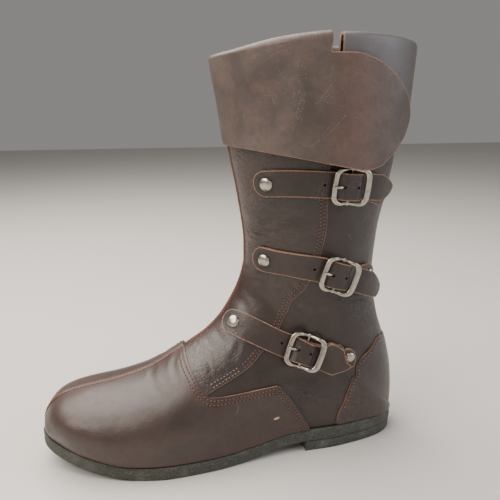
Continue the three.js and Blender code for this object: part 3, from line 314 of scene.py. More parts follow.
class Last:
    """The form of the foot and leg that the leather lies on."""

    def __init__(self, s):
        self.s = s
        angles = [round_share(row[0]) for row in OUTLINE]
        self.outer_half, self.inner_half = (Curve(angles, [row[k] for row in OUTLINE]) for k in (1, 2))
        self.heel_part = table_curve(TREAD, 0, 1)
        self.spring_part = table_curve(TREAD, 0, 2)
        rows = []
        for top, rise, base, outer, inner, widest, crown, foot in FOOT:
            top_x = self.x(top)
            rows.append((top_x, float(self.sole_top(top_x)) + rise * s.instep_height, self.x(base), 0,
                         outer * s.ball_width, inner * s.ball_width, widest, crown, foot))
        ankle_z = rows[ANKLE][1]
        seat_z = float(self.sole_top(s.heel_back))
        for front, front_rise, back, back_rise, width in SHAFT:
            half = width * s.collar_width / 2
            rows.append((self.x(front), ankle_z + front_rise * (s.shaft_front - ankle_z), self.x(back),
                         seat_z + back_rise * (s.shaft_back - seat_z), half, half, 0.5, 2, 2))
        for row in range(ANKLE + 1):
            rows[row] = rows[row][:3] + (float(self.sole_top(rows[row][2])),) + rows[row][4:]
        numbers = range(len(rows))
        self.columns = [Curve(numbers, [row[k] for row in rows]) for k in range(9)]

    def x(self, along):
        return self.s.heel_back - self.s.last_length * along

    def along(self, x):
        return (self.s.heel_back - x) / self.s.last_length

    def half_width(self, x, side):
        share = round_share(self.along(x))
        half = np.where(side < 0, self.outer_half(share), self.inner_half(share))
        return self.s.ball_width * half

    def tread(self, x):
        along = self.along(x)
        return self.heel_part(along) * self.s.heel_height + self.spring_part(along) * self.s.toe_spring

    def sole_top(self, x):
        return self.tread(x) + self.s.sole_thickness

    def point(self, section, turn):
        section, turn = paired(section, turn)
        side = np.where(turn < 0, -1.0, 1.0)
        share = np.abs(turn)
        on_foot = section <= ANKLE
        top_x, top_z, base_x, base_z, outer, inner, widest, crown, foot = [c(section) for c in self.columns]
        base_z = np.where(on_foot, self.sole_top(base_x), base_z)
        base = np.where(on_foot, self.half_width(base_x, side), 0)
        full = np.maximum(np.where(side < 0, outer, inner), base)
        high = np.minimum(share, 0.5) * math.pi
        low = np.clip(share - 0.5, 0, 0.5) * math.pi
        down_high = widest * (1 - np.maximum(np.cos(high), 0) ** (2 / crown))
        out_high = full * np.sin(high) ** (2 / crown)
        down_low = widest + (1 - widest) * np.sin(low) ** (2 / foot)
        out_low = base + (full - base) * np.maximum(np.cos(low), 0) ** (2 / foot)
        down = np.where(share <= 0.5, down_high, down_low)
        out = np.where(share <= 0.5, out_high, out_low)
        shaft = np.maximum(section - ANKLE, 0) / (RIM - ANKLE)
        arch = self.s.shaft_crown * 4 * down * (1 - down) * shaft ** 3
        x, z = top_x + (base_x - top_x) * down, top_z + (base_z - top_z) * down + arch
        return np.stack([x, side * out, z], -1)

    def steps(self, section, turn):
        """How a place moves along the sections and round them."""
        small = 1e-3
        section, turn = paired(section, turn)
        high, low = np.minimum(section + small, RIM), np.maximum(section - small, 0)
        right, left = np.minimum(turn + small, 1), np.maximum(turn - small, -1)
        along = (self.point(high, turn) - self.point(low, turn)) / (high - low)[..., None]
        across = (self.point(section, right) - self.point(section, left)) / (right - left)[..., None]
        return along, across

    def normal(self, section, turn):
        section, turn = paired(section, turn)
        share = np.abs(turn)
        outward = unit(np.cross(*self.steps(section, turn)))
        under = (outward[..., 2] < 0) & (share > 0.5)
        outward[..., 2] *= np.where(under, np.clip((section - ANKLE) / 2, 0, 1), 1)
        outward[..., 1] *= np.where(((share > 0.999) & (section >= ANKLE)) | (share < 0.001), 0, 1)
        outward[section < 0.01] = (-1, 0, 0)
        return unit(outward)

    def place(self, section, turn, offset):
        return self.point(section, turn) + self.normal(section, turn) * np.asarray(offset, float)[..., None]

    def slide(self, section, turn, vector):
        """Moves places over the surface by short vectors."""
        section, turn = paired(section, turn)
        for _ in range(2):
            along, across = self.steps(section, turn)
            aa, rr, ar = dot(along, along), dot(across, across), dot(along, across)
            av, rv = dot(along, vector) / 2, dot(across, vector) / 2
            det = aa * rr - ar * ar
            section = section + (av * rr - rv * ar) / det
            turn = turn + (rv * aa - av * ar) / det
        return section, turn


def smooth_line(spots, count):
    """Places along a smooth line through a few given ones."""
    shares = spread(len(spots) - 1)
    fine = spread(count)
    return (Curve(shares, [a for a, b in spots])(fine), Curve(shares, [b for a, b in spots])(fine))


def line_gap(points, line):
    """Distance of each point from a line, and the share of the line that it is nearest to."""
    flat = points.reshape(-1, 3)
    best = np.full(len(flat), 1e9)
    share = np.zeros(len(flat))
    count = len(line) - 1
    for i in range(count):
        a, b = line[i], line[i + 1]
        t = np.clip(((flat - a) @ (b - a)) / max((b - a) @ (b - a), 1e-12), 0, 1)
        gap = np.linalg.norm(flat - a - t[:, None] * (b - a), axis=1)
        nearer = gap < best
        best = np.where(nearer, gap, best)
        share = np.where(nearer, (i + t) / count, share)
    return best.reshape(points.shape[:-1]), share.reshape(points.shape[:-1])


def fold_depth(last, section, turn, table):
    """How far soft folds sink the leather, with a low ridge beside each."""
    points = last.point(section, turn)
    sink = np.zeros(points.shape[:-1])
    for spots, width, depth in table:
        line = last.point(*smooth_line(spots, 20))
        gap, share = line_gap(points, line)
        taper = np.sin(math.pi * np.clip(share, 0, 1)) ** 0.7
        reach = gap / (width * MM)
        sink += depth * MM * taper * (hump(reach, 0, 1) - 0.45 * hump(reach, 1.8, 0.9))
    return sink


def near_edge(points, lines, width=0.9 * MM):
    """1 on the cut edges of a piece, falling to 0 a little way in."""
    gap = np.min([line_gap(points, line)[0] for line in lines], axis=0)
    return np.clip(1.15 - gap / width, 0, 1)


# Modelling helpers


def deselect():
    if bpy.context.object and bpy.context.object.mode != "OBJECT":
        bpy.ops.object.mode_set(mode="OBJECT")
    bpy.ops.object.select_all(action="DESELECT")


def activate(piece):
    deselect()
    piece.select_set(True)
    bpy.context.view_layer.objects.active = piece


def apply_modifier(piece, kind, **settings):
    activate(piece)
    bpy.ops.object.modifier_add(type=kind)
    modifier = piece.modifiers[-1]
    for name, value in settings.items():
        setattr(modifier, name, value)
    bpy.ops.object.modifier_apply(modifier=modifier.name)


def in_edit(piece, *steps):
    """Runs edit mode operators on the whole piece."""
    activate(piece)
    bpy.ops.object.mode_set(mode="EDIT")
    bpy.ops.mesh.select_all(action="SELECT")
    for step in steps:
        step()
    bpy.ops.object.mode_set(mode="OBJECT")


def close_ends(piece):
    """Puts a face into each open end."""
    in_edit(piece, lambda: bpy.ops.mesh.select_all(action="DESELECT"), bpy.ops.mesh.select_non_manifold,
            bpy.ops.mesh.edge_face_add)


def joined(pieces):
    activate(pieces[0])
    for piece in pieces[1:]:
        piece.select_set(True)
    bpy.ops.object.join()
    return pieces[0]


def net(name, points, materials, weld=False, flip=False, **attributes):
    """A grid primitive laid through a table of points, rows by columns, or turned inside out."""
    rows, columns = points.shape[:2]
    deselect()
    bpy.ops.mesh.primitive_grid_add(x_subdivisions=columns - 1, y_subdivisions=rows - 1, size=2)
    piece = bpy.context.object
    piece.name = name
    piece.data.name = name
    mesh = piece.data
    flat = np.empty(len(mesh.vertices) * 3, np.float32)
    mesh.vertices.foreach_get("co", flat)
    places = flat.reshape(-1, 3)
    column = np.rint((places[:, 0] + 1) / 2 * (columns - 1)).astype(int)
    row = np.rint((places[:, 1] + 1) / 2 * (rows - 1)).astype(int)
    if flip:
        row = rows - 1 - row
    mesh.vertices.foreach_set("co", points[row, column].astype(np.float32).ravel())
    for key, values in attributes.items():
        layer = mesh.attributes.new(key, "FLOAT", "POINT")
        values = np.broadcast_to(values, (rows, columns))
        layer.data.foreach_set("value", values[row, column].astype(np.float32))
    mesh.update()
    for material in materials:
        mesh.materials.append(finish(material))
    if weld:
        in_edit(piece, lambda: bpy.ops.mesh.remove_doubles(threshold=WELD))
    return piece


def face_outward(piece):
    in_edit(piece, lambda: bpy.ops.mesh.normals_make_consistent(inside=False))


def smooth(piece, degrees=45):
    activate(piece)
    bpy.ops.object.shade_smooth_by_angle(angle=math.radians(degrees))


def thicken(piece, thickness, edge=0.4 * MM, bare=False):
    """Gives a sheet its thickness inward, with a cut edge and soft corners, which are bare if asked."""
    apply_modifier(piece, "SOLIDIFY", thickness=thickness, offset=-1, material_offset_rim=1)
    apply_modifier(piece, "BEVEL", width=edge, segments=2, limit_method="ANGLE", angle_limit=math.radians(50),
                   material=1 if bare else -1)
    smooth(piece)


def own(piece, slot, *nodes):
    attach(piece, "root")
    if nodes:
        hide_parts(*nodes)
    return piece


# Materials


class Amount:
    """A number that changes over a surface, with the usual arithmetic."""

    def __init__(self, finish, socket):
        self.finish = finish
        self.socket = socket

    def maths(self, operation, first, second=0.0, clamp=False):
        made = self.finish.node("ShaderNodeMath", {"operation": operation, "use_clamp": clamp},
                                {0: first, 1: second})
        return Amount(self.finish, made.outputs[0])

    def __add__(self, other):
        return self.maths("ADD", self, other)

    __radd__ = __add__

    def __sub__(self, other):
        return self.maths("SUBTRACT", self, other)

    def __rsub__(self, other):
        return self.maths("SUBTRACT", other, self)

    def __mul__(self, other):
        return self.maths("MULTIPLY", self, other)

    __rmul__ = __mul__

    def over(self, low, high):
        """0 below low, 1 above high, even between."""
        return self.maths("MULTIPLY", self - low, 1 / (high - low), clamp=True)


class Finish:
    """One material and its nodes."""

    def __init__(self, name):
        self.material = bpy.data.materials.new(name)
        self.material.use_nodes = True
        self.tree = self.material.node_tree
        self.surface = self.tree.nodes["Principled BSDF"]
        self.place = self.node("ShaderNodeTexCoord").outputs["Object"]

    def node(self, kind, settings=None, values=None):
        made = self.tree.nodes.new(kind)
        for name, value in (settings or {}).items():
            setattr(made, name, value)
        for name, value in (values or {}).items():
            self.feed(made.inputs[name], value)
        return made

    def feed(self, socket, value):
        if isinstance(value, Amount):
            value = value.socket
        if isinstance(value, bpy.types.NodeSocket):
            self.tree.links.new(value, socket)
        elif isinstance(value, (tuple, list)) and len(value) == 3 and socket.type == "RGBA":
            socket.default_value = (*value, 1)
        else:
            socket.default_value = value

    def noise(self, size, detail=3.0, roughness=0.5, stretch=None):
        """Noise whose features are about so many metres across."""
        place = self.place
        if stretch:
            place = self.node("ShaderNodeMapping", {}, {"Vector": place, "Scale": stretch}).outputs[0]
        made = self.node("ShaderNodeTexNoise", {}, {
            "Vector": place, "Scale": 1 / size, "Detail": detail, "Roughness": roughness})
        return Amount(self, made.outputs["Fac"])

    def warped(self, size, amount, stretch):
        """The place pushed about by noise and then stretched."""
        pushed = self.node("ShaderNodeTexNoise", {}, {"Vector": self.place, "Scale": 1 / size, "Detail": 2.0})
        moved = self.node("ShaderNodeVectorMath", {"operation": "MULTIPLY_ADD"}, {
            0: pushed.outputs["Color"], 1: (amount, amount, amount), 2: self.place})
        return self.node("ShaderNodeMapping", {}, {"Vector": moved.outputs[0], "Scale": stretch}).outputs[0]

    def cells(self, size, feature="F1", place=None):
        made = self.node("ShaderNodeTexVoronoi", {"feature": feature}, {
            "Vector": place or self.place, "Scale": 1 / size})
        return Amount(self, made.outputs["Distance"])

    def attribute(self, name):
        made = self.node("ShaderNodeAttribute", {"attribute_name": name})
        return Amount(self, made.outputs["Fac"])

    def mix(self, first, second, share):
        """A colour between two."""
        made = self.node("ShaderNodeMix", {"data_type": "RGBA"}, {0: share, 6: first, 7: second})
        return made.outputs[2]

    def bump(self, height, distance, strength=1.0, under=None):
        values = {"Height": height, "Distance": distance, "Strength": strength}
        if under:
            values["Normal"] = under
        return self.node("ShaderNodeBump", {}, values).outputs["Normal"]

    def set(self, **values):
        for name, value in values.items():
            self.feed(self.surface.inputs[name.replace("_", " ")], value)
        return self.material


def scaled(tint, factor):
    return tuple(min(channel * factor, 1) for channel in tint)


def leather(name, tint, grain=0.6, polish=0.4, mottle=1.0, red=0.0, coat=0.12):
    """Brown boot leather: mottled dye, fine grain, creases, old scratches, rubbed places, painted sheen and
    painted shade.
    """
    f = Finish(name)
    tint = tuple(tint)
    broad = f.noise(0.045, 3, 0.55)
    middle = f.noise(0.013, 4, 0.62)
    fine = f.noise(0.0045, 4, 0.65)
    speck = f.noise(0.0011, 2, 0.5)
    dark = scaled(tint, 0.55)
    light = (tint[0] * 1.7, tint[1] * 1.7, tint[2] * 1.72)
    base = f.mix(dark, tint, broad.over(0.3, 0.55))
    base = f.mix(base, light, broad.over(0.48, 0.75) * (0.6 * mottle))
    base = f.mix(base, (tint[0] * 1.5, tint[1] * 1.15, tint[2] * 0.95), middle.over(0.48, 0.68) * 0.5)
    base = f.mix(base, scaled(tint, 0.5), (1 - middle.over(0.3, 0.48)) * (0.45 * mottle))
    base = f.mix(base, scaled(tint, 0.62), fine.over(0.46, 0.66) * (0.55 * mottle))
    rust = (tint[0] * 2.1, tint[1] * 1.05, tint[2] * 0.75)
    base = f.mix(base, rust, f.attribute("rust") * 0.8 + red)
    # Painted sheen: a lighter, bluer tone where a piece asks for it, standing in for the gloss of a cool
    # light
    base = f.mix(base, (tint[0] * 1.25, tint[1] * 1.6, tint[2] * 2.1), f.attribute("cool"))

    # Creases: a warped net of thin lines, only in patches and where the leather is wrinkled
    crinkle = f.attribute("crinkle")
    net_place = f.warped(0.012, 0.009, (0.8, 0.8, 1.5))
    creases = 1 - f.cells(0.0052, "DISTANCE_TO_EDGE", net_place).over(0.0, 0.07)
    creases = creases * (middle.over(0.5, 0.62) * 0.22 + crinkle * 0.85)
    long_place = f.warped(0.03, 0.02, (1, 1, 0.32))
    scratches = 1 - f.cells(0.016, "DISTANCE_TO_EDGE", long_place).over(0.0, 0.012)
    scratches = scratches * fine.over(0.5, 0.6) * 0.35
    rubbed = f.attribute("rubbed") * speck.over(0.4, 0.6) * fine.over(0.36, 0.52)
    base = f.mix(base, (tint[0] * 2.6, tint[1] * 2.5, tint[2] * 2.4), creases * 0.35 + scratches)
    base = f.mix(base, (0.2, 0.17, 0.155), rubbed * 0.4)
    # Painted shade: a darker tone where a piece asks for it, standing in for shade and shadow
    base = f.mix(base, scaled(tint, 0.28), f.attribute("shade") * 0.8)
    bare = f.attribute("bare").over(0.25, 0.7) * (0.55 + 0.45 * fine.over(0.3, 0.55))
    raw = tuple(colours().raw)
    base = f.mix(base, f.mix(scaled(raw, 0.5), raw, speck.over(0.35, 0.6)), bare)

    grains = f.cells(0.0012) * 0.7 + f.noise(0.0006, 2) * 0.5
    waves = f.noise(0.02, 2, 0.5)
    soft = f.bump(waves, 0.0013, 0.6)
    lines = f.bump(fine * (crinkle * 0.8 + 0.12), 0.0017, 0.9, soft)
    cut = f.bump(1 - creases - scratches * 0.5, 0.00035, 0.9, lines)
    skin = f.bump(grains, 0.00017, grain, cut)
    rough = fine * 0.2 + broad * 0.1 + (polish - 0.16) + rubbed * 0.2 + speck * 0.06 + bare * 0.35
    return f.set(Base_Color=base, Roughness=rough, Normal=skin, Coat_Weight=coat, Coat_Roughness=0.3,
                 Specular_IOR_Level=0.5)


def fibres(name, dark, light, size, edges, rough, relief, patches=None):
    """A fibrous finish: two tones mixed by a fine noise, and wide patches of a third if it is given."""
    f = Finish(name)
    fibre = f.noise(*size)
    base = f.mix(dark, light, fibre.over(*edges))
    if patches:
        tint, wide, reach = patches
        base = f.mix(base, tint, f.noise(*wide).over(*reach) * 0.6)
    return f.set(Base_Color=base, Roughness=rough, Normal=f.bump(fibre, *relief))


def thread(name, tint):
    """Waxed thread with a fine twist."""
    tint = tuple(tint)
    patches = (scaled(tint, 0.5), (0.01, 2, 0.5), (0.5, 0.65))
    return fibres(name, scaled(tint, 0.55), tint, (0.0007, 2, 0.5), (0.35, 0.6), 0.7, (0.0003, 0.6), patches)


# Near black painted shade, standing in for the darkness inside needle holes and punched holes
def needle_hole(name):
    f = Finish(name)
    shade_noise = f.noise(0.0008, 1)
    return f.set(Base_Color=f.mix((0.008, 0.005, 0.004), (0.02, 0.011, 0.008), shade_noise), Roughness=0.9)


def rubber(name):
    """Greenish grey crepe rubber: pale crumbs, pits and a little dust."""
    f = Finish(name)
    tint = tuple(colours().rubber)
    dots = f.cells(0.0019)
    dust = f.noise(0.014, 4, 0.6)
    grit = f.noise(0.0011, 3, 0.7)
    base = f.mix(scaled(tint, 0.4), tint, grit.over(0.38, 0.6))
    base = f.mix(base, (0.21, 0.215, 0.18), (1 - dots.over(0.1, 0.3)) * grit.over(0.45, 0.58) * 0.75)
    base = f.mix(base, (0.13, 0.128, 0.11), dust.over(0.5, 0.72) * 0.6)
    rough = grit * 0.2 + 0.62
    return f.set(Base_Color=base, Roughness=rough, Normal=f.bump(grit + dots * 0.4, 0.0012, 0.85))


def metal(name):
    """Worn nickel: warm, softly brushed, darker where hands don't rub it."""
    f = Finish(name)
    tint = tuple(colours().metal)
    brushed = f.noise(0.0009, 3, 0.6, stretch=(0.3, 0.3, 1.6))
    patch = f.noise(0.0035, 3, 0.6)
    base = f.mix(scaled(tint, 0.75), tint, patch.over(0.32, 0.55))
    base = f.mix(base, (0.34, 0.28, 0.19), patch.over(0.62, 0.78) * 0.25)
    rough = brushed * 0.12 + patch * 0.08 + 0.2
    return f.set(Base_Color=base, Roughness=rough, Metallic=1.0, Normal=f.bump(brushed, 0.00007, 0.35))


def floor_finish(name):
    f = Finish(name)
    mottled = f.noise(0.3, 2)
    base = f.mix((0.52, 0.505, 0.485), (0.55, 0.54, 0.52), mottled)
    return f.set(Base_Color=base, Roughness=0.75)


FINISHES = {}


def finish(name):
    """Each material is made once."""
    if name not in FINISHES:
        c = colours()
        brown, raw, flesh = tuple(c.leather), tuple(c.raw), tuple(c.flesh)
        fine = (0.0012, 3, 0.6)
        makers = {
            "vamp_leather": (leather, brown, 0.35, 0.42, 0.8, 0.05, 0.2),
            "quarter_leather": (leather, scaled(brown, 0.72), 0.6, 0.4),
            "panel_leather": (leather, c.panel, 0.7, 0.37, 1.1, 0.05, 0.3),
            "cuff_leather": (leather, c.cuff, 0.4, 0.46, 0.8),
            "strap_leather": (leather, scaled(brown, 0.75), 0.4, 0.4, 0.7),
            "raw_edge": (fibres, scaled(raw, 0.45), raw, fine, (0.35, 0.62), 0.75, (0.0004, 0.7),
                         ((0.1, 0.056, 0.042), (0.012, 2, 0.5), (0.46, 0.62))),
            "scuff": (fibres, (0.05, 0.038, 0.032), (0.21, 0.18, 0.16), fine, (0.38, 0.62), 0.8,
                      (0.0003, 0.6)),
            "tan_scar": (fibres, (0.3, 0.18, 0.12), (0.6, 0.4, 0.3), fine, (0.35, 0.6), 0.8, (0.0003, 0.6)),
            "flesh_side": (fibres, scaled(flesh, 0.6), flesh, (0.0014, 4, 0.7), (0.3, 0.65), 0.9,
                           (0.0005, 0.8), (scaled(flesh, 0.5), (0.02, 3, 0.6), (0.45, 0.7))),
            "brown_thread": (thread, c.thread),
            "tan_thread": (thread, c.tan_thread),
            "pale_thread": (thread, c.pale_thread),
            "seam_edge": (thread, c.seam_edge),
            "needle_hole": (needle_hole,),
            "sole_rubber": (rubber,),
            "worn_nickel": (metal,),
            "pale_floor": (floor_finish,),
        }
        make, *settings = makers[name]
        FINISHES[name] = make(name, *settings)
    return FINISHES[name]


# Forms of the leather pieces, shared by the pieces and their stitching

# Soft folds: places along the trough, its half width and its depth in millimetres. A negative depth is a
# ridge.
VAMP_FOLDS = [
    ([(6.9, -0.02), (6.7, -0.12), (6.75, -0.24)], 2.6, 0.35),
    ([(6.2, 0.02), (6.1, -0.12), (6.3, -0.26)], 3.0, 0.25),
    ([(9.2, -0.50), (8.9, -0.56), (8.7, -0.66)], 3.5, 0.4),
    ([(6.6, 0.05), (6.5, 0.2), (6.8, 0.36)], 3.0, 0.4),
    ([(8.0, 0.5), (7.7, 0.62), (7.8, 0.8)], 4.0, 0.5),
]
PANEL_FOLDS = [
    ([(16.98, -0.03), (17.42, -0.162), (17.92, -0.253), (18.48, -0.335), (18.84, -0.396)], 5.5, 1.1),
    ([(18.46, -0.218), (18.52, -0.285), (18.82, -0.355), (19.06, -0.409)], 1.5, 0.3),
    ([(18.2, -0.24), (18.3, -0.3), (18.55, -0.37)], 1.3, 0.25),
    ([(17.0, -0.05), (16.7, -0.12), (16.9, -0.2), (17.0, -0.27)], 1.4, 0.25),
    ([(11.76, -0.06), (13.42, -0.15), (14.6, -0.23)], 5.0, 0.9),
    ([(10.58, -0.08), (10.2, -0.189), (10.14, -0.26)], 4.0, 0.45),
    ([(9.2, -0.218), (8.78, -0.249), (8.3, -0.27)], 2.6, 0.28),
    ([(8.1, -0.03), (8.42, -0.15), (8.62, -0.236)], 2.4, 0.2),
    ([(7.42, -0.05), (7.62, -0.172), (7.68, -0.238), (7.66, -0.295)], 1.8, 0.25),
    ([(7.75, -0.06), (7.9, -0.13), (7.95, -0.2)], 1.3, 0.15),
    ([(15.6, -0.3), (15.4, -0.35), (15.1, -0.39)], 2.0, 0.35),
]
QUARTER_FOLDS = [
    ([(9.62, -0.45), (9.84, -0.485), (10.08, -0.515), (10.38, -0.558), (10.54, -0.602)], 2.2, 0.85),
    ([(9.66, -0.51), (9.84, -0.555), (10.1, -0.609)], 1.6, 0.4),
    ([(9.5, -0.41), (9.9, -0.43), (10.4, -0.455), (11.04, -0.489)], 5.0, 0.9),
    ([(16.5, -0.516), (16.74, -0.599), (17.06, -0.702), (17.3, -0.84)], 1.8, 0.6),
    ([(16.4, -0.546), (16.7, -0.639), (17.1, -0.782)], 1.5, 0.4),
    ([(16.15, -0.6), (16.35, -0.68), (16.6, -0.78)], 1.5, 0.25),
    ([(15.2, -0.42), (14.9, -0.55), (15.1, -0.72)], 6.0, 0.9),
    ([(12.4, -0.44), (12.0, -0.5), (11.9, -0.56)], 3.5, 0.6),
    ([(18.4, -0.5), (18.1, -0.62), (18.3, -0.78)], 6.0, 0.5),
]
INNER_FOLDS = [
    ([(13.6, 0.05), (13.2, 0.25), (12.8, 0.45), (12.9, 0.62)], 4.5, 1.5),
    ([(15.2, 0.06), (15.0, 0.28), (14.7, 0.5), (14.9, 0.72)], 4.0, 1.2),
    ([(11.9, 0.06), (11.4, 0.22), (11.3, 0.38)], 3.5, 1.0),
    ([(16.9, 0.1), (16.8, 0.35), (16.9, 0.6)], 4.5, 0.8),
    ([(13.0, 0.7), (13.8, 0.82), (14.6, 0.93)], 3.0, 0.8),
    ([(10.2, 0.5), (10.6, 0.62), (11.3, 0.7)], 4.0, 0.7),
]
CUFF_FOLDS = [
    ([(21.95, -0.41), (21.6, -0.392), (21.08, -0.385), (20.7, -0.368), (20.2, -0.345)], 5.5, -1.0),
    ([(21.8, -0.25), (21.3, -0.3), (20.7, -0.28)], 9.0, 0.9),
    ([(21.88, -0.308), (21.93, -0.34), (21.95, -0.39)], 1.6, 0.35),
    ([(21.5, -0.5), (21.0, -0.48), (20.5, -0.5)], 7.0, 0.4),
    ([(21.6, 0.3), (21.2, 0.35), (20.6, 0.32)], 9.0, 0.8),
    ([(21.7, 0.75), (21.3, 0.7), (20.9, 0.76)], 8.0, 0.7),
]


def vamp_edge(turn):
    return np.where(turn < 0, table_curve(VAMP_OUTER)(-turn), table_curve(VAMP_INNER)(turn))


def vamp_offset(last, section, turn):
    """Height of the vamp over the last, with its closed seam down the middle."""
    s = last.s
    k = np.clip(section / vamp_edge(turn), 0, 1)
    lift = s.vamp_low + (s.vamp_lift - s.vamp_low) * k ** 3
    aside = np.abs(last.point(section, turn)[..., 1]) / MM
    ridge = 0.6 * hump(aside, 1.1, 0.9) - 0.5 * hump(aside, 0, 0.5)
    ridge = ridge * ramp(section, 0.8, 1.2) * MM
    return lift + ridge - fold_depth(last, section, turn, VAMP_FOLDS)


def panel_turn(section):
    return table_curve(PANEL_EDGE)(section)


def panel_offset(last, section, turn):
    return last.s.panel_step - fold_depth(last, section, turn, PANEL_FOLDS)


def quarter_offset(last, section, turn):
    return -fold_depth(last, section, turn, QUARTER_FOLDS)


def counter_offset(last, section, turn):
    return last.s.counter_step + 0 * section


def slit_opening(section):
    """How far the slit in the shaft has opened at a height, as a share."""
    return Curve([0, 20.6, 21.3, RIM], [0, 0, 1, 1])(section)


class BOOT_OT_vamp(bpy.types.Operator):
    """The vamp: one piece over the toes with a closed seam down the middle"""

    bl_idname = "boot.vamp"
    bl_label = "Vamp"

    def execute(self, context):
        last = Last(sizes())
        k = np.concatenate([spread(60, 0, 0.75) ** 1.1 / 0.75 ** 0.1, spread(36, 0.75, 1)[1:]])
        near = spread(15, 0, 0.03)
        far = spread(78, 0.03, 1)[1:]
        turn = np.concatenate([-far[::-1], -near[::-1], near[1:], far])[:, None]
        section = k[None, :] * vamp_edge(turn)
        turn = np.broadcast_to(turn, section.shape)
        points = last.place(section, turn, vamp_offset(last, section, turn))
        low = ramp(np.abs(turn), 0.55, 0.45)
        toe = 1 - ramp(section, 0, 2.2)
        middle = hump(points[..., 1], 0, 7 * MM)
        rust = np.clip(0.75 * low ** 1.5 + 0.5 * toe + 0.6 * middle, 0, 1)
        # Painted shade darkens the lowest band of the vamp, next to the sole
        piece = net("vamp", points, ["vamp_leather", "raw_edge"], True,
                    rust=rust * 0.8, shade=ramp(low, 0.93, 0.07))
        thicken(piece, sizes().wall * SKIN, 0.6 * MM, True)
        own(piece, "leather", "upper")
        return {"FINISHED"}


class BOOT_OT_front_panel(bpy.types.Operator):
    """The front panel on the outer side, which laps over the quarter"""

    bl_idname = "boot.front_panel"
    bl_label = "Front panel"

    def execute(self, context):
        last = Last(sizes())
        across = spread(64)[:, None]
        start = table_curve(VAMP_OUTER)(across * panel_turn(7.5)) - 0.25
        section = start + spread(230)[None, :] * (RIM - start)
        turn = -across * panel_turn(section)
        points = last.place(section, turn, panel_offset(last, section, turn))
        edge = ramp(across, 0.8, 0.2)
        front = hump(across, 0, 0.35)
        grain = (0.25 + 0.75 * front) * ramp(section, 13, 3)
        low = 1 - ramp(section, 7.5, 2.5)
        # Painted shade darkens the panel towards its rear edge, where it laps over the quarter
        piece = net("front_panel", points, ["panel_leather", "raw_edge"], flip=True,
                    crinkle=np.clip(grain + 0.4 * low, 0, 1), shade=0.25 * edge, rust=0.35 * front,
                    rubbed=0.5 * low * edge)
        thicken(piece, sizes().wall * PANEL_SKIN, 0.7 * MM, True)
        own(piece, "leather", "upper")
        return {"FINISHED"}


class BOOT_OT_quarters(bpy.types.Operator):
    """The outer quarter behind the front panel, the inner quarter and the counter round the heel"""

    bl_idname = "boot.quarters"
    bl_label = "Quarters"

    def execute(self, context):
        last = Last(sizes())
        leathers = ["quarter_leather", "raw_edge"]

        # Outer quarter: from under the front panel to the back seam
        level = spread(210)[None, :]
        across = spread(90)[:, None]
        low_turn = 0.3 + 0.7 * across
        start = np.minimum(vamp_edge(-low_turn), 9.6) - 0.3
        section = start + level * (RIM - start)
        front = panel_turn(section) - 0.035
        front = front + slit_opening(section) * (-NOTCH_BACK - front)
        turn = -(front + across * (1 - front))
        points = last.place(section, turn, quarter_offset(last, section, turn))
        # Painted sheen: the back and upper part of the outer quarter get a lighter bluish tone standing in
        # for light from the right
        rear = ramp(-turn, 0.5, 0.4) * ramp(section, 12, 4)
        dusty = hump(section, 12.4, 1.6) * hump(turn, -0.66, 0.1)
        under_buckle = hump(section, 16.6, 0.7) * ramp(-turn, 0.5, 0.2)
        at_corner = hump(section, 9.9, 0.6) * hump(turn, -0.52, 0.1)
        piece = net("outer_quarter", points, leathers, flip=True, cool=0.45 * rear, rubbed=0.9 * dusty,
                    crinkle=np.clip(under_buckle + 0.7 * at_corner, 0, 1))
        thicken(piece, sizes().wall * SKIN)
        own(piece, "leather", "upper")

        # Inner quarter: from the front seam to the back seam
        across = np.concatenate([spread(10, 0, 0.03), spread(110, 0.03, 1)[1:]])[:, None]
        start = vamp_edge(across) - 0.3
        section = start + level * (RIM - start)
        turn = across + 0 * section
        at_panel = last.s.panel_step * hump(turn, 0, 0.05)
        points = last.place(section, turn, at_panel - fold_depth(last, section, turn, INNER_FOLDS))
        piece = net("inner_quarter", points, leathers)
        thicken(piece, sizes().wall * SKIN)
        own(piece, "leather", "upper")

        # Counter: one piece from side to side round the heel
        edge = table_curve(COUNTER_EDGE)
        level = spread(70, COUNTER_EDGE[0][0], COUNTER_EDGE[-1][0])[None, :]
        start = edge(level)
        across = spread(110)[:, None]
        turn = start + across * (2 - 2 * start)
        section = level + 0 * turn
        low = 1 - ramp(section, 10.1, 5)
        # Painted sheen on the counter's upper part, a lighter bluish tone standing in for light
        piece = net("counter", last.place(section, turn, counter_offset(last, section, turn)), leathers, True,
                    rubbed=0.55 * low, rust=0.35 * low, cool=0.3 * (1 - low))
        thicken(piece, sizes().counter_step * COUNTER_SKIN, 0.4 * MM, True)
        own(piece, "leather", "upper")
        return {"FINISHED"}


